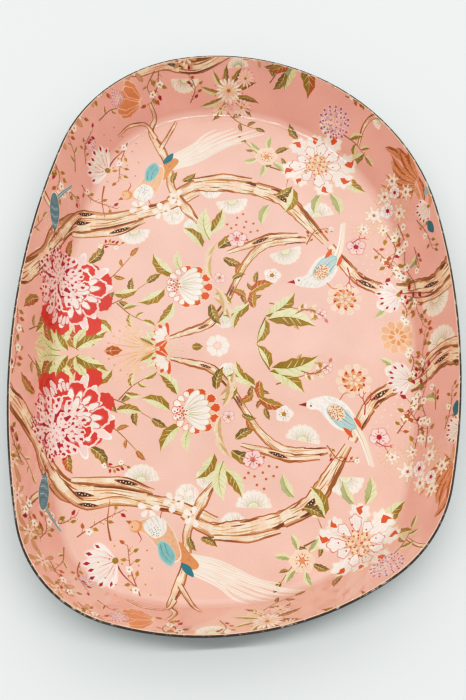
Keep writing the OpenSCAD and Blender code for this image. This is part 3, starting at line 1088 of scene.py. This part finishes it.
# %% Close the sheet with a rounded rim and an underside
def boundary(corners):
    """The sheet's edge as one loop of point numbers, in the way the triangles run."""
    *_, alone = edge_pairs(corners)
    following = {start: [] for start in alone[:, 0].tolist()}
    for start, end in alone.tolist():
        following[start].append(end)
    # Each edge is walked once, so the loop stays whole even where the edge touches itself.
    trail, loop = [int(alone[0, 0])], []
    while trail:
        if following[trail[-1]]:
            trail.append(following[trail[-1]].pop())
        else:
            loop.append(trail.pop())
    return np.array(loop[:0:-1])


def strips_between(rows):
    """Triangles between neighbouring rows of points that go round the tray."""
    strips = []
    for a, b in zip(rows, rows[1:]):
        a_ahead, b_ahead = np.roll(a, -1), np.roll(b, -1)
        strips.append(np.stack([a, b, b_ahead], 1))
        strips.append(np.stack([a, b_ahead, a_ahead], 1))
    return np.concatenate(strips)


used, corners = np.unique(corners, return_inverse=True)
top_flat = places[used]
corners = corners.reshape(-1, 3)
loop = boundary(corners)
loop_flat = top_flat[loop]
_, loop_out = beyond_crease(loop_flat)
top_xyz, top_normals = pressed(top_flat)
print("edge of the sheet:", len(loop), "points")

# %% Rows of points from the rim to the middle of the underside
SHEET_BACK = PLY_TOPS["core"]
# Distance along the sheet and depth, from the worn rim round to the flat underside.
WORN = 0.07
rim_rows = [(PRINT_REACH - WORN, BOARD_T - WORN), (PRINT_REACH, BOARD_T - RIM_ROUND),
            (PRINT_REACH, SHEET_BACK)]
BACK_STEPS = 6
HALF_UP_WALL = 0.6 * PRINT_REACH
back_rows = [(HALF_UP_WALL, SHEET_BACK)]
back_rows += [(CREASE_ARC * k / BACK_STEPS, SHEET_BACK) for k in range(BACK_STEPS, -1, -1)]
flats, solids, normals, rows = [top_flat], [top_xyz], [top_normals], [loop]
slope = np.full(len(loop), math.tan(WALL_ANGLE))
rim_way = np.stack([loop_out.real, loop_out.imag, slope], 1) * math.cos(WALL_ANGLE)
for number, (reach, depth) in enumerate(rim_rows + back_rows):
    flat = loop_flat + (reach - SHEET_REACH) * loop_out
    xyz, normal = pressed(flat, depth)
    if number < len(rim_rows):
        normal = normal + rim_way if number == 0 else rim_way
    else:
        normal = -normal
    rows.append(sum(map(len, flats)) + np.arange(len(loop)))
    flats.append(flat)
    solids.append(xyz)
    normals.append(normal / np.linalg.norm(normal, axis=1, keepdims=True))
hub = sum(map(len, flats))
hub_flat = loop_flat.mean()
flats.append(np.array([hub_flat]))
solids.append(np.array([[hub_flat.real, hub_flat.imag, SHEET_BACK]]) * MM)
normals.append(np.array([[0, 0, -1.0]]))

strips = strips_between(rows)
disc = np.stack([rows[-1], np.full(len(loop), hub), np.roll(rows[-1], -1)], 1)
corner_ids = np.concatenate([corners, strips, disc])
flat_all, normal_all = np.concatenate(flats), np.concatenate(normals)
face_mesh = bpy.data.meshes.new("printed_face")
face_mesh.from_pydata(np.concatenate(solids).tolist(), [], corner_ids.tolist())
print("sheet:", len(face_mesh.vertices), "points,", len(corner_ids), "triangles")


# %% Store the inks, the way along each shape and the maps
def per_corner(name, kind, values):
    """A named value at every corner of every face."""
    attribute = face_mesh.attributes.new(name, kind, "CORNER")
    field = "color" if kind == "FLOAT_COLOR" else "vector"
    attribute.data.foreach_set(field, np.asarray(values, np.float32).ravel())


top_count = len(corners)
ink_rgb = np.array([LINEAR_INKS[s.ink] for s in shapes] + [LINEAR_INKS["ground"]])
tint = random.Random(12)
tints = np.array([[1 + tint.uniform(-0.05, 0.05)] for _ in shapes] + [[1.0]])
ink_rgb = ink_rgb * tints
origins = np.array([s.origin for s in shapes] + [0])
ways = np.array([s.along for s in shapes] + [1])
kinds = np.array([KINDS.index(s.kind) for s in shapes] + [0])

corner_cover = np.repeat(cover, 3)
arm = top_flat[corners.ravel()] - origins[corner_cover]
way = ways[corner_cover] / np.abs(ways[corner_cover])
local = arm * np.conj(way)
share = np.clip(local.real / np.abs(ways[corner_cover]), 0, 1)
ink = np.ones((len(corner_ids) * 3, 4))
ink[:, :3] = LINEAR_INKS["shell"]
ink[:top_count * 3, :3] = ink_rgb[corner_cover]
ink[:top_count * 3, 3] = share
growth = np.zeros((len(corner_ids) * 3, 3))
growth[:top_count * 3] = np.stack([local.real * MM, local.imag * MM, kinds[corner_cover]], 1)
per_corner("ink", "FLOAT_COLOR", ink)
per_corner("growth", "FLOAT_VECTOR", growth)

artwork = face_mesh.attributes.new("artwork", "FLOAT_VECTOR", "POINT")
artwork_xyz = np.stack([flat_all.real, flat_all.imag, np.zeros(len(flat_all))], 1) * MM
artwork.data.foreach_set("vector", artwork_xyz.astype(np.float32).ravel())

# %% The map for baking
# The print fills the map, and the rim and the underside have small places beside it.
MAP_MM = 516
MAP_MIDDLE = complex(193, MAP_MM / 2)
RIM_AT, RIM_PITCH, RIM_GAP = 0.76, 0.012, 0.002
UNDER_AT, UNDER_SCALE = 0.82 + 0.02j, 0.231
uv = (flat_all[corner_ids.ravel()] + MAP_MIDDLE) / MAP_MM
here = np.arange(len(loop)) / len(loop)
ahead = (np.arange(len(loop)) + 1) / len(loop)
for row in range(len(rim_rows)):
    left = RIM_AT + RIM_PITCH * row
    right = RIM_AT + RIM_PITCH * (row + 1) - RIM_GAP
    lower = np.stack([left + 1j * here, right + 1j * here, right + 1j * ahead], 1)
    upper = np.stack([left + 1j * here, right + 1j * ahead, left + 1j * ahead], 1)
    start = (top_count + 2 * row * len(loop)) * 3
    uv[start:start + 6 * len(loop)] = np.concatenate([lower, upper]).ravel()
under = slice((top_count + 2 * len(rim_rows) * len(loop)) * 3, None)
under_corner = complex(uv[under].real.min(), uv[under].imag.min())
uv[under] = UNDER_AT + UNDER_SCALE * (uv[under] - under_corner)
uv_map = face_mesh.uv_layers.new(name="OFBake")
uv_map.data.foreach_set("uv", np.stack([uv.real, uv.imag], 1).astype(np.float32).ravel())
print("map spans", uv.real.min().round(3), uv.real.max().round(3), uv.imag.min().round(3),
      uv.imag.max().round(3))

# %% The printed face as an object
face_mesh.shade_smooth()
face_mesh.normals_split_custom_set_from_vertices(normal_all.tolist())
printed_face = bpy.data.objects.new("printed_face", face_mesh)
bpy.context.scene.collection.objects.link(printed_face)
print("printed face:", len(face_mesh.polygons), "faces")

# %% [markdown]
# ## Materials
# One helper adds a node with its settings and its inputs, so that each material reads as a list
# of steps. Pattern scales come from real sizes: the helper `per_mm` turns the size of a grain
# into the scale of a noise on coordinates in metres.


# %% Helper for nodes
def add(tree, kind, inputs=None, **settings):
    """A node with its settings, its values and its links."""
    node = tree.nodes.new(kind)
    for name, value in settings.items():
        setattr(node, name, value)
    for socket, value in (inputs or {}).items():
        if isinstance(value, bpy.types.NodeSocket):
            tree.links.new(value, node.inputs[socket])
        else:
            node.inputs[socket].default_value = value
    return node


def per_mm(size):
    """The noise scale whose features are about this many millimetres across."""
    return 1 / (size * MM)


def new_material(name):
    """An empty material with an output and a Principled shader."""
    material = bpy.data.materials.new(name)
    material.use_nodes = True
    tree = material.node_tree
    tree.nodes.clear()
    shader = add(tree, "ShaderNodeBsdfPrincipled")
    add(tree, "ShaderNodeOutputMaterial", {"Surface": shader.outputs[0]})
    return material, tree, shader


# %% [markdown]
# ### Printed decor paper under clear melamine
# The real surface is ink on paper, soaked in resin and pressed against polished steel. The ink
# is matt and a little uneven; the clear layer over it gives the gloss. So the shader has a rough
# base with a smooth coat. The ink is shaded the way an embroidered or painted silk is: petals
# deepen towards their foot, leaves are hatched, bark is streaked, feathers are ranked.

# %% Printed face
laminate, tree, shader = new_material("printed_melamine_laminate")
ink = add(tree, "ShaderNodeAttribute", attribute_name="ink")
growth = add(tree, "ShaderNodeAttribute", attribute_name="growth")
sheet = add(tree, "ShaderNodeAttribute", attribute_name="artwork")
along = add(tree, "ShaderNodeSeparateXYZ", {0: growth.outputs["Vector"]})
HATCH = {  # kind: grain across and along the growth in mm, strength, tint it is deepened with
    "leaf": (0.9, 9, 0.55, "#C8CE8C"),
    "bark": (1.3, 14, 0.80, "#CE9A6C"),
    "petal": (1.1, 12, 0.60, "#F0B8AC"),
    "plume": (1.6, 4, 0.55, "#A8CCD4"),
}
colour = ink.outputs["Color"]
for kind, (across, down, strength, deep) in HATCH.items():
    is_kind = add(tree, "ShaderNodeMath", {0: along.outputs["Z"], 1: KINDS.index(kind), 2: 0.3},
                  operation="COMPARE")
    stretched = add(tree, "ShaderNodeCombineXYZ", {
        "X": add(tree, "ShaderNodeMath", {0: along.outputs["X"], 1: per_mm(down)},
                 operation="MULTIPLY").outputs[0],
        "Y": add(tree, "ShaderNodeMath", {0: along.outputs["Y"], 1: per_mm(across)},
                 operation="MULTIPLY").outputs[0],
        "Z": KINDS.index(kind)})
    streaks = add(tree, "ShaderNodeTexNoise", {"Vector": stretched.outputs[0], "Scale": 1.0,
                                               "Detail": 1.5, "Roughness": 0.6})
    sharp = add(tree, "ShaderNodeMapRange", {"Value": streaks.outputs["Fac"], "From Min": 0.48,
                                             "From Max": 0.66}, interpolation_type="SMOOTHSTEP")
    reach = add(tree, "ShaderNodeMapRange", {"Value": ink.outputs["Alpha"], "From Min": 0.0,
                                             "From Max": 0.9, "To Min": strength,
                                             "To Max": strength * 0.35})
    amount = add(tree, "ShaderNodeMath", {0: sharp.outputs[0], 1: reach.outputs[0]},
                 operation="MULTIPLY")
    amount = add(tree, "ShaderNodeMath", {0: amount.outputs[0], 1: is_kind.outputs[0]},
                 operation="MULTIPLY")
    deeper = add(tree, "ShaderNodeMix", {"Factor": amount.outputs[0], 6: colour,
                                         7: (*linear(deep), 1)}, data_type="RGBA",
                 blend_type="MULTIPLY")
    colour = deeper.outputs[2]

# Soft cloudiness of the dyed ground, and the paper's fine fleck.
cloud = add(tree, "ShaderNodeTexNoise", {"Vector": sheet.outputs["Vector"], "Scale": per_mm(38),
                                         "Detail": 2.0})
fleck = add(tree, "ShaderNodeTexNoise", {"Vector": sheet.outputs["Vector"], "Scale": per_mm(0.9),
                                         "Detail": 1.0})
cloud_gain = add(tree, "ShaderNodeMapRange", {"Value": cloud.outputs["Fac"], "From Min": 0.3,
                                              "From Max": 0.7, "To Min": 0.955, "To Max": 1.045})
fleck_gain = add(tree, "ShaderNodeMapRange", {"Value": fleck.outputs["Fac"], "From Min": 0.3,
                                              "From Max": 0.7, "To Min": 0.95, "To Max": 1.05})
gain = add(tree, "ShaderNodeMath", {0: cloud_gain.outputs[0], 1: fleck_gain.outputs[0]},
           operation="MULTIPLY")
toned = add(tree, "ShaderNodeVectorMath", {0: colour, "Scale": gain.outputs[0]},
            operation="SCALE")
tree.links.new(toned.outputs[0], shader.inputs["Base Color"])
# Pressed gloss is never quite flat: it waves at the pitch of the sheets' fibres.
ripple = add(tree, "ShaderNodeTexNoise", {"Vector": sheet.outputs["Vector"], "Scale": per_mm(7),
                                          "Detail": 2.0})
bump = add(tree, "ShaderNodeBump", {"Height": ripple.outputs["Fac"], "Strength": 0.12,
                                    "Distance": 0.3 * MM})
tree.links.new(bump.outputs[0], shader.inputs["Coat Normal"])
tree.links.new(bump.outputs[0], shader.inputs["Normal"])
shader.inputs["Roughness"].default_value = 0.5
# The ink lies inside the resin, so only the outer surface reflects.
shader.inputs["Specular IOR Level"].default_value = 0.0
shader.inputs["Coat Weight"].default_value = 1.0
shader.inputs["Coat Roughness"].default_value = 0.035
shader.inputs["Coat IOR"].default_value = 1.52
face_mesh.materials.append(laminate)
print("printed face:", len(tree.nodes), "nodes")

# %% [markdown]
# ### Cut edge and black back
# The core is paper or fibre soaked in dark resin. Where the rim is sawn and buffed it shows
# brown-black with pale flecks. Some are chips where the cutter broke the face, and some are
# painted highlights where fibres would catch the light. The backing is black melamine pressed
# against a finer, duller plate, so it is a satin black.

# %% Core and backing
core_edge, tree, shader = new_material("sawn_fibre_core")
where = add(tree, "ShaderNodeTexCoord")
grain = add(tree, "ShaderNodeTexNoise", {"Vector": where.outputs["Object"], "Scale": per_mm(1.2),
                                         "Detail": 3.0})
# Noise for the pale flecks: partly cutter chips, partly painted highlights of fibres.
chip_and_glint_noise = add(tree, "ShaderNodeTexNoise", {"Vector": where.outputs["Object"], "Scale": per_mm(5),
                                         "Detail": 3.0, "Roughness": 0.7})
chip_and_glint_mask = add(tree, "ShaderNodeMapRange", {"Value": chip_and_glint_noise.outputs["Fac"], "From Min": 0.54,
                                           "From Max": 0.63})
dark = add(tree, "ShaderNodeMix", {"Factor": grain.outputs["Fac"], 6: (*linear("#231B18"), 1),
                                   7: (*linear("#5A463C"), 1)}, data_type="RGBA")
# Pale flecks over the dark edge: chips, and painted highlights where fibres catch the light.
edge = add(tree, "ShaderNodeMix", {"Factor": chip_and_glint_mask.outputs[0], 6: dark.outputs[2],
                                   7: (*linear("#C0B0A4"), 1)}, data_type="RGBA")
tree.links.new(edge.outputs[2], shader.inputs["Base Color"])
rough = add(tree, "ShaderNodeMapRange", {"Value": grain.outputs["Fac"], "To Min": 0.45,
                                         "To Max": 0.7})
tree.links.new(rough.outputs[0], shader.inputs["Roughness"])
bump = add(tree, "ShaderNodeBump", {"Height": grain.outputs["Fac"], "Strength": 0.5,
                                    "Distance": 0.15 * MM})
tree.links.new(bump.outputs[0], shader.inputs["Normal"])

backing_black, tree, shader = new_material("black_melamine_backing")
where = add(tree, "ShaderNodeTexCoord")
# The pressing plate's texture is finer than this; it is drawn coarse enough to show.
plate = add(tree, "ShaderNodeTexNoise", {"Vector": where.outputs["Object"], "Scale": per_mm(1.5),
                                         "Detail": 2.0})
smear = add(tree, "ShaderNodeTexNoise", {"Vector": where.outputs["Object"], "Scale": per_mm(60),
                                         "Detail": 3.0})
black = add(tree, "ShaderNodeMix", {"Factor": smear.outputs["Fac"], 6: (*linear("#141416"), 1),
                                    7: (*linear("#26262A"), 1)}, data_type="RGBA")
tree.links.new(black.outputs[2], shader.inputs["Base Color"])
rough = add(tree, "ShaderNodeMapRange", {"Value": smear.outputs["Fac"], "To Min": 0.30,
                                         "To Max": 0.46})
tree.links.new(rough.outputs[0], shader.inputs["Roughness"])
bump = add(tree, "ShaderNodeBump", {"Height": plate.outputs["Fac"], "Strength": 0.25,
                                    "Distance": 0.1 * MM})
tree.links.new(bump.outputs[0], shader.inputs["Normal"])
print("edge and back materials are ready")

# %% [markdown]
# ## Core and backing as swept shells
# Both plies follow one rule: a section of floor, crease and wall, carried round the outline. That
# is a job for Geometry Nodes. The tree makes the section from three points, rounds its corner
# with Fillet Curve, sweeps it along the outline, fills the floor and joins the two. Solidify then
# gives the sheet its thickness, and Bevel takes the sharpness off the sawn rim.


# %% Geometry Nodes tree of a pressed ply
FLOOR_LAP = 0.008  # metres of flat floor in the swept section
WELD = 1e-6
RING_WELD = 5e-5


def ply_tree():
    """Sweeps a section round an outline curve and fills the floor."""
    tree = bpy.data.node_groups.new("pressed ply", "GeometryNodeTree")
    face = tree.interface
    face.new_socket("Geometry", in_out="INPUT", socket_type="NodeSocketGeometry")
    for name in ("Depth", "Rim Height", "Crease Start", "Wall Angle", "Crease Radius"):
        face.new_socket(name, in_out="INPUT", socket_type="NodeSocketFloat")
    face.new_socket("Crease Steps", in_out="INPUT", socket_type="NodeSocketInt")
    face.new_socket("Material", in_out="INPUT", socket_type="NodeSocketMaterial")
    face.new_socket("Geometry", in_out="OUTPUT", socket_type="NodeSocketGeometry")
    given = add(tree, "NodeGroupInput").outputs

    def sums(operation, a, b=0.0):
        return add(tree, "ShaderNodeMath", {0: a, 1: b}, operation=operation).outputs[0]

    sine = sums("SINE", given["Wall Angle"])
    cosine = sums("COSINE", given["Wall Angle"])
    rim_x = sums("MULTIPLY", sums("MULTIPLY", given["Depth"], sine), -1.0)
    rim_y = sums("ADD", given["Rim Height"], sums("MULTIPLY", given["Depth"], cosine))
    rise = sums("SUBTRACT", rim_y, given["Depth"])
    corner_x = sums("SUBTRACT", rim_x, sums("DIVIDE", sums("MULTIPLY", rise, cosine), sine))
    floor_x = sums("SUBTRACT", sums("MULTIPLY", given["Crease Start"], -1.0), FLOOR_LAP)
    # A swept section's Y axis points down, so heights go in with a minus sign.
    points = []
    for x, y in ((floor_x, given["Depth"]), (corner_x, given["Depth"]), (rim_x, rim_y)):
        down = sums("MULTIPLY", y, -1.0)
        points.append(add(tree, "ShaderNodeCombineXYZ", {"X": x, "Y": down}).outputs[0])
    floor_line = add(tree, "GeometryNodeCurvePrimitiveLine", {"Start": points[0],
                                                              "End": points[1]})
    wall_line = add(tree, "GeometryNodeCurvePrimitiveLine", {"Start": points[1],
                                                             "End": points[2]})
    both = add(tree, "GeometryNodeJoinGeometry", {0: wall_line.outputs[0]})
    tree.links.new(floor_line.outputs[0], both.inputs[0])
    as_mesh = add(tree, "GeometryNodeCurveToMesh", {"Curve": both.outputs[0]})
    welded = add(tree, "GeometryNodeMergeByDistance", {"Geometry": as_mesh.outputs[0],
                                                       "Distance": WELD})
    corner = add(tree, "GeometryNodeMeshToCurve", {"Mesh": welded.outputs[0]})
    bend_r = sums("SUBTRACT", given["Crease Radius"], given["Depth"])
    section = add(tree, "GeometryNodeFilletCurve", {
        "Curve": corner.outputs[0], "Radius": bend_r, "Count": given["Crease Steps"]},
        mode="POLY")
    path = add(tree, "GeometryNodeMeshToCurve", {"Mesh": given["Geometry"]})
    upright = add(tree, "GeometryNodeSetCurveNormal", {"Curve": path.outputs[0]}, mode="Z_UP")
    wall = add(tree, "GeometryNodeCurveToMesh", {"Curve": upright.outputs[0],
                                                 "Profile Curve": section.outputs[0]})
    # The inner edge of the swept wall is the border that lies low.
    faces_beside = add(tree, "GeometryNodeInputMeshEdgeNeighbors")
    alone = add(tree, "FunctionNodeCompare", {2: faces_beside.outputs[0], 3: 1},
                data_type="INT", operation="EQUAL")
    height = add(tree, "ShaderNodeSeparateXYZ",
                 {0: add(tree, "GeometryNodeInputPosition").outputs[0]})
    half_way = sums("MULTIPLY", given["Rim Height"], 0.5)
    low = add(tree, "FunctionNodeCompare", {0: height.outputs["Z"], 1: half_way},
              data_type="FLOAT", operation="LESS_THAN")
    inner = add(tree, "FunctionNodeBooleanMath", {0: alone.outputs[0], 1: low.outputs[0]},
                operation="AND")
    hole = add(tree, "GeometryNodeMeshToCurve", {"Mesh": wall.outputs[0],
                                                 "Selection": inner.outputs[0]})
    floor = add(tree, "GeometryNodeFillCurve", {"Curve": hole.outputs[0]}, mode="NGONS")
    level = add(tree, "ShaderNodeCombineXYZ", {"Z": given["Depth"]})
    raised = add(tree, "GeometryNodeTransform", {"Geometry": floor.outputs[0],
                                                 "Translation": level.outputs[0]})
    joined = add(tree, "GeometryNodeJoinGeometry", {0: wall.outputs[0]})
    tree.links.new(raised.outputs[0], joined.inputs[0])
    closed = add(tree, "GeometryNodeMergeByDistance", {"Geometry": joined.outputs[0],
                                                       "Distance": RING_WELD})
    real = add(tree, "GeometryNodeRealizeInstances", {"Geometry": closed.outputs[0]})
    finished = add(tree, "GeometryNodeSetMaterial", {"Geometry": real.outputs[0],
                                                     "Material": given["Material"]})
    add(tree, "NodeGroupOutput", {"Geometry": finished.outputs[0]})
    return tree


PLY_TREE = ply_tree()
print("tree of a pressed ply:", len(PLY_TREE.nodes), "nodes")


# %% Sweep one ply into a plain sheet
def swept_sheet(name, underside, material):
    """The underside of a ply, at a depth in mm, as an object with a plain mesh."""
    rim_line = outline(CREASE_X)
    rim_mesh = bpy.data.meshes.new(name)
    count = len(rim_line)
    rim_mesh.from_pydata([(z.real * MM, z.imag * MM, 0) for z in rim_line],
                         [(k, (k + 1) % count) for k in range(count)], [])
    ply = bpy.data.objects.new(name, rim_mesh)
    bpy.context.scene.collection.objects.link(ply)
    sweep = ply.modifiers.new("sweep", "NODES")
    sweep.node_group = PLY_TREE
    sizes = {"Depth": underside * MM, "Rim Height": RIM_Z * MM, "Crease Start": CREASE_X * MM,
             "Wall Angle": WALL_ANGLE, "Crease Radius": CREASE_R * MM, "Crease Steps": CREASE_STEPS,
             "Material": material}
    for item in PLY_TREE.interface.items_tree:
        if item.in_out == "INPUT" and item.name in sizes:
            sweep[item.identifier] = sizes[item.name]
    sheet_of = ply.evaluated_get(bpy.context.evaluated_depsgraph_get())
    plain = bpy.data.meshes.new_from_object(sheet_of)
    ply.modifiers.remove(sweep)
    ply.data = plain
    plain.name = name
    return ply


def faces_up(plain):
    """Turns a sheet's faces upwards and fills its floor with triangles."""
    work = bmesh.new()
    work.from_mesh(plain)
    bmesh.ops.recalc_face_normals(work, faces=work.faces)
    floor = max(work.faces, key=lambda f: f.calc_area())
    if floor.normal.z < 0:
        bmesh.ops.reverse_faces(work, faces=work.faces)
    bmesh.ops.triangulate(work, faces=[floor])
    work.to_mesh(plain)
    work.free()


# %% Thicken and finish it
RIM_CORNER = math.radians(50)


def pressed_ply(name, underside, top, material, edge_round):
    """A ply between two depths in mm, as a closed shell with a buffed rim."""
    ply = swept_sheet(name, underside, material)
    faces_up(ply.data)
    ply.data.shade_smooth()
    thick = ply.modifiers.new("thickness", "SOLIDIFY")
    thick.thickness = (top - underside) * MM
    thick.offset = 1
    thick.use_even_offset = True
    soft = ply.modifiers.new("buffed rim", "BEVEL")
    soft.width = edge_round * MM
    soft.segments = 2
    soft.limit_method = "ANGLE"
    soft.angle_limit = RIM_CORNER
    soft.harden_normals = True
    return ply


core = pressed_ply("pressed_core", PLY_TOPS["backing_sheet"], PLY_TOPS["core"], core_edge, 0.2)
backing = pressed_ply("backing", 0, PLY_TOPS["backing_sheet"], backing_black, 0.08)
for ply in (core, backing):
    low, high = (Vector(f(c[i] for c in ply.bound_box) for i in range(3)) for f in (min, max))
    print(ply.name, len(ply.data.polygons), "faces before thickness,",
          [round(v / MM, 2) for v in low], [round(v / MM, 2) for v in high])

# %% [markdown]
# ## Studio
# The tray lies on a pale sheet. Most of the light comes from a white tent all round it, and a
# broad window beyond its far end gives the walls their light and shade. A long thin strip overhead
# is mirrored by the glossy crease as a bright line.

# %% Floor
paper, tree, shader = new_material("pale_studio_paper")
where = add(tree, "ShaderNodeTexCoord")
mottle = add(tree, "ShaderNodeTexNoise", {"Vector": where.outputs["Object"], "Scale": per_mm(300)})
tone = add(tree, "ShaderNodeMix", {"Factor": mottle.outputs["Fac"], 6: (*linear("#E9EDEB"), 1),
                                   7: (*linear("#EEF1F0"), 1)}, data_type="RGBA")
tree.links.new(tone.outputs[2], shader.inputs["Base Color"])
shader.inputs["Roughness"].default_value = 0.9
shader.inputs["Specular IOR Level"].default_value = 0.2
floor_mesh = bpy.data.meshes.new("studio_floor")
HALF_FLOOR = 2.5
floor_mesh.from_pydata([(x * HALF_FLOOR, y * HALF_FLOOR, 0)
                        for x, y in ((-1, -1), (1, -1), (1, 1), (-1, 1))], [], [(0, 1, 2, 3)])
floor_mesh.materials.append(paper)
studio_floor = bpy.data.objects.new("studio_floor", floor_mesh)
bpy.context.scene.collection.objects.link(studio_floor)
print("floor:", 2 * HALF_FLOOR, "m wide")


# %% Lights
def soft_light(name, at, aim, size, watts):
    """A rectangular light at a place in metres, turned towards a point."""
    lamp = bpy.data.lights.new(name, "AREA")
    lamp.shape = "RECTANGLE"
    lamp.size, lamp.size_y = size
    lamp.energy = watts
    light = bpy.data.objects.new(name, lamp)
    light.location = at
    light.rotation_euler = (Vector(aim) - Vector(at)).to_track_quat("-Z", "Y").to_euler()
    bpy.context.scene.collection.objects.link(light)


soft_light("broad window", (0.15, 1.5, 1.6), (0, 0.05, 0), (2.4, 1.8), 8)
soft_light("overhead strip", (0, -0.10, 1.5), (0, -0.10, 0), (2.2, 0.04), 9)

# %% White tent
# The room is a white tent, brighter overhead and underneath than at the level of the table.
world = bpy.data.worlds.new("white tent")
bpy.context.scene.world = world
world.use_nodes = True
tree = world.node_tree
tent = tree.nodes["Background"]
sky_way = add(tree, "ShaderNodeTexCoord")
height = add(tree, "ShaderNodeSeparateXYZ", {0: sky_way.outputs["Generated"]})
steep = add(tree, "ShaderNodeMath", {0: height.outputs["Z"]}, operation="ABSOLUTE")
glow = add(tree, "ShaderNodeMapRange", {"Value": steep.outputs[0], "To Min": 0.30,
                                        "To Max": 0.78})
tree.links.new(glow.outputs[0], tent.inputs["Strength"])
tent.inputs["Color"].default_value = (*linear("#FBFDFD"), 1)
print("tent:", len(tree.nodes), "nodes")

# %% Tone
# The picture gets the contrast of a camera's own tone curve: scene light, and light shown.
view = bpy.context.scene.view_settings
view.view_transform = "Standard"
view.use_curve_mapping = True
TONES = ((0.25, 0.20), (0.55, 0.61), (0.75, 0.81))
for scene_light, shown in TONES:
    view.curve_mapping.curves[3].points.new(scene_light, shown)
view.curve_mapping.update()
print("tone curve:", len(TONES), "points")

# %% Camera
VIEW_DISTANCE = 0.752
VIEW_TILT = math.radians(21.3)
VIEW_SIDE = math.radians(8.05)
VIEW_ROLL = math.radians(4.74)
target = Vector((-1.2, -12.7, BOARD_T)) * MM
ahead = Vector((math.sin(VIEW_TILT) * math.sin(VIEW_SIDE),
                math.sin(VIEW_TILT) * math.cos(VIEW_SIDE), -math.cos(VIEW_TILT)))
lens = bpy.data.cameras.new("camera")
lens.lens = 50
lens.sensor_width = 36
camera = bpy.data.objects.new("camera", lens)
camera.location = target - ahead * VIEW_DISTANCE
turned = ahead.to_track_quat("-Z", "Y") @ Quaternion((0, 0, 1), VIEW_ROLL)
camera.rotation_euler = turned.to_euler()
bpy.context.scene.collection.objects.link(camera)
bpy.context.scene.camera = camera
print("camera at", [round(v, 3) for v in camera.location])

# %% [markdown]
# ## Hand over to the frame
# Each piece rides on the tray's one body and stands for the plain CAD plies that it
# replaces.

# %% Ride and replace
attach(printed_face, "root")
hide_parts("decor_sheet", "clear_overlay")
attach(core, "root")
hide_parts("core")
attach(backing, "root")
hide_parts("backing_sheet")

# %% Bring the scene up to date
bpy.context.view_layer.update()
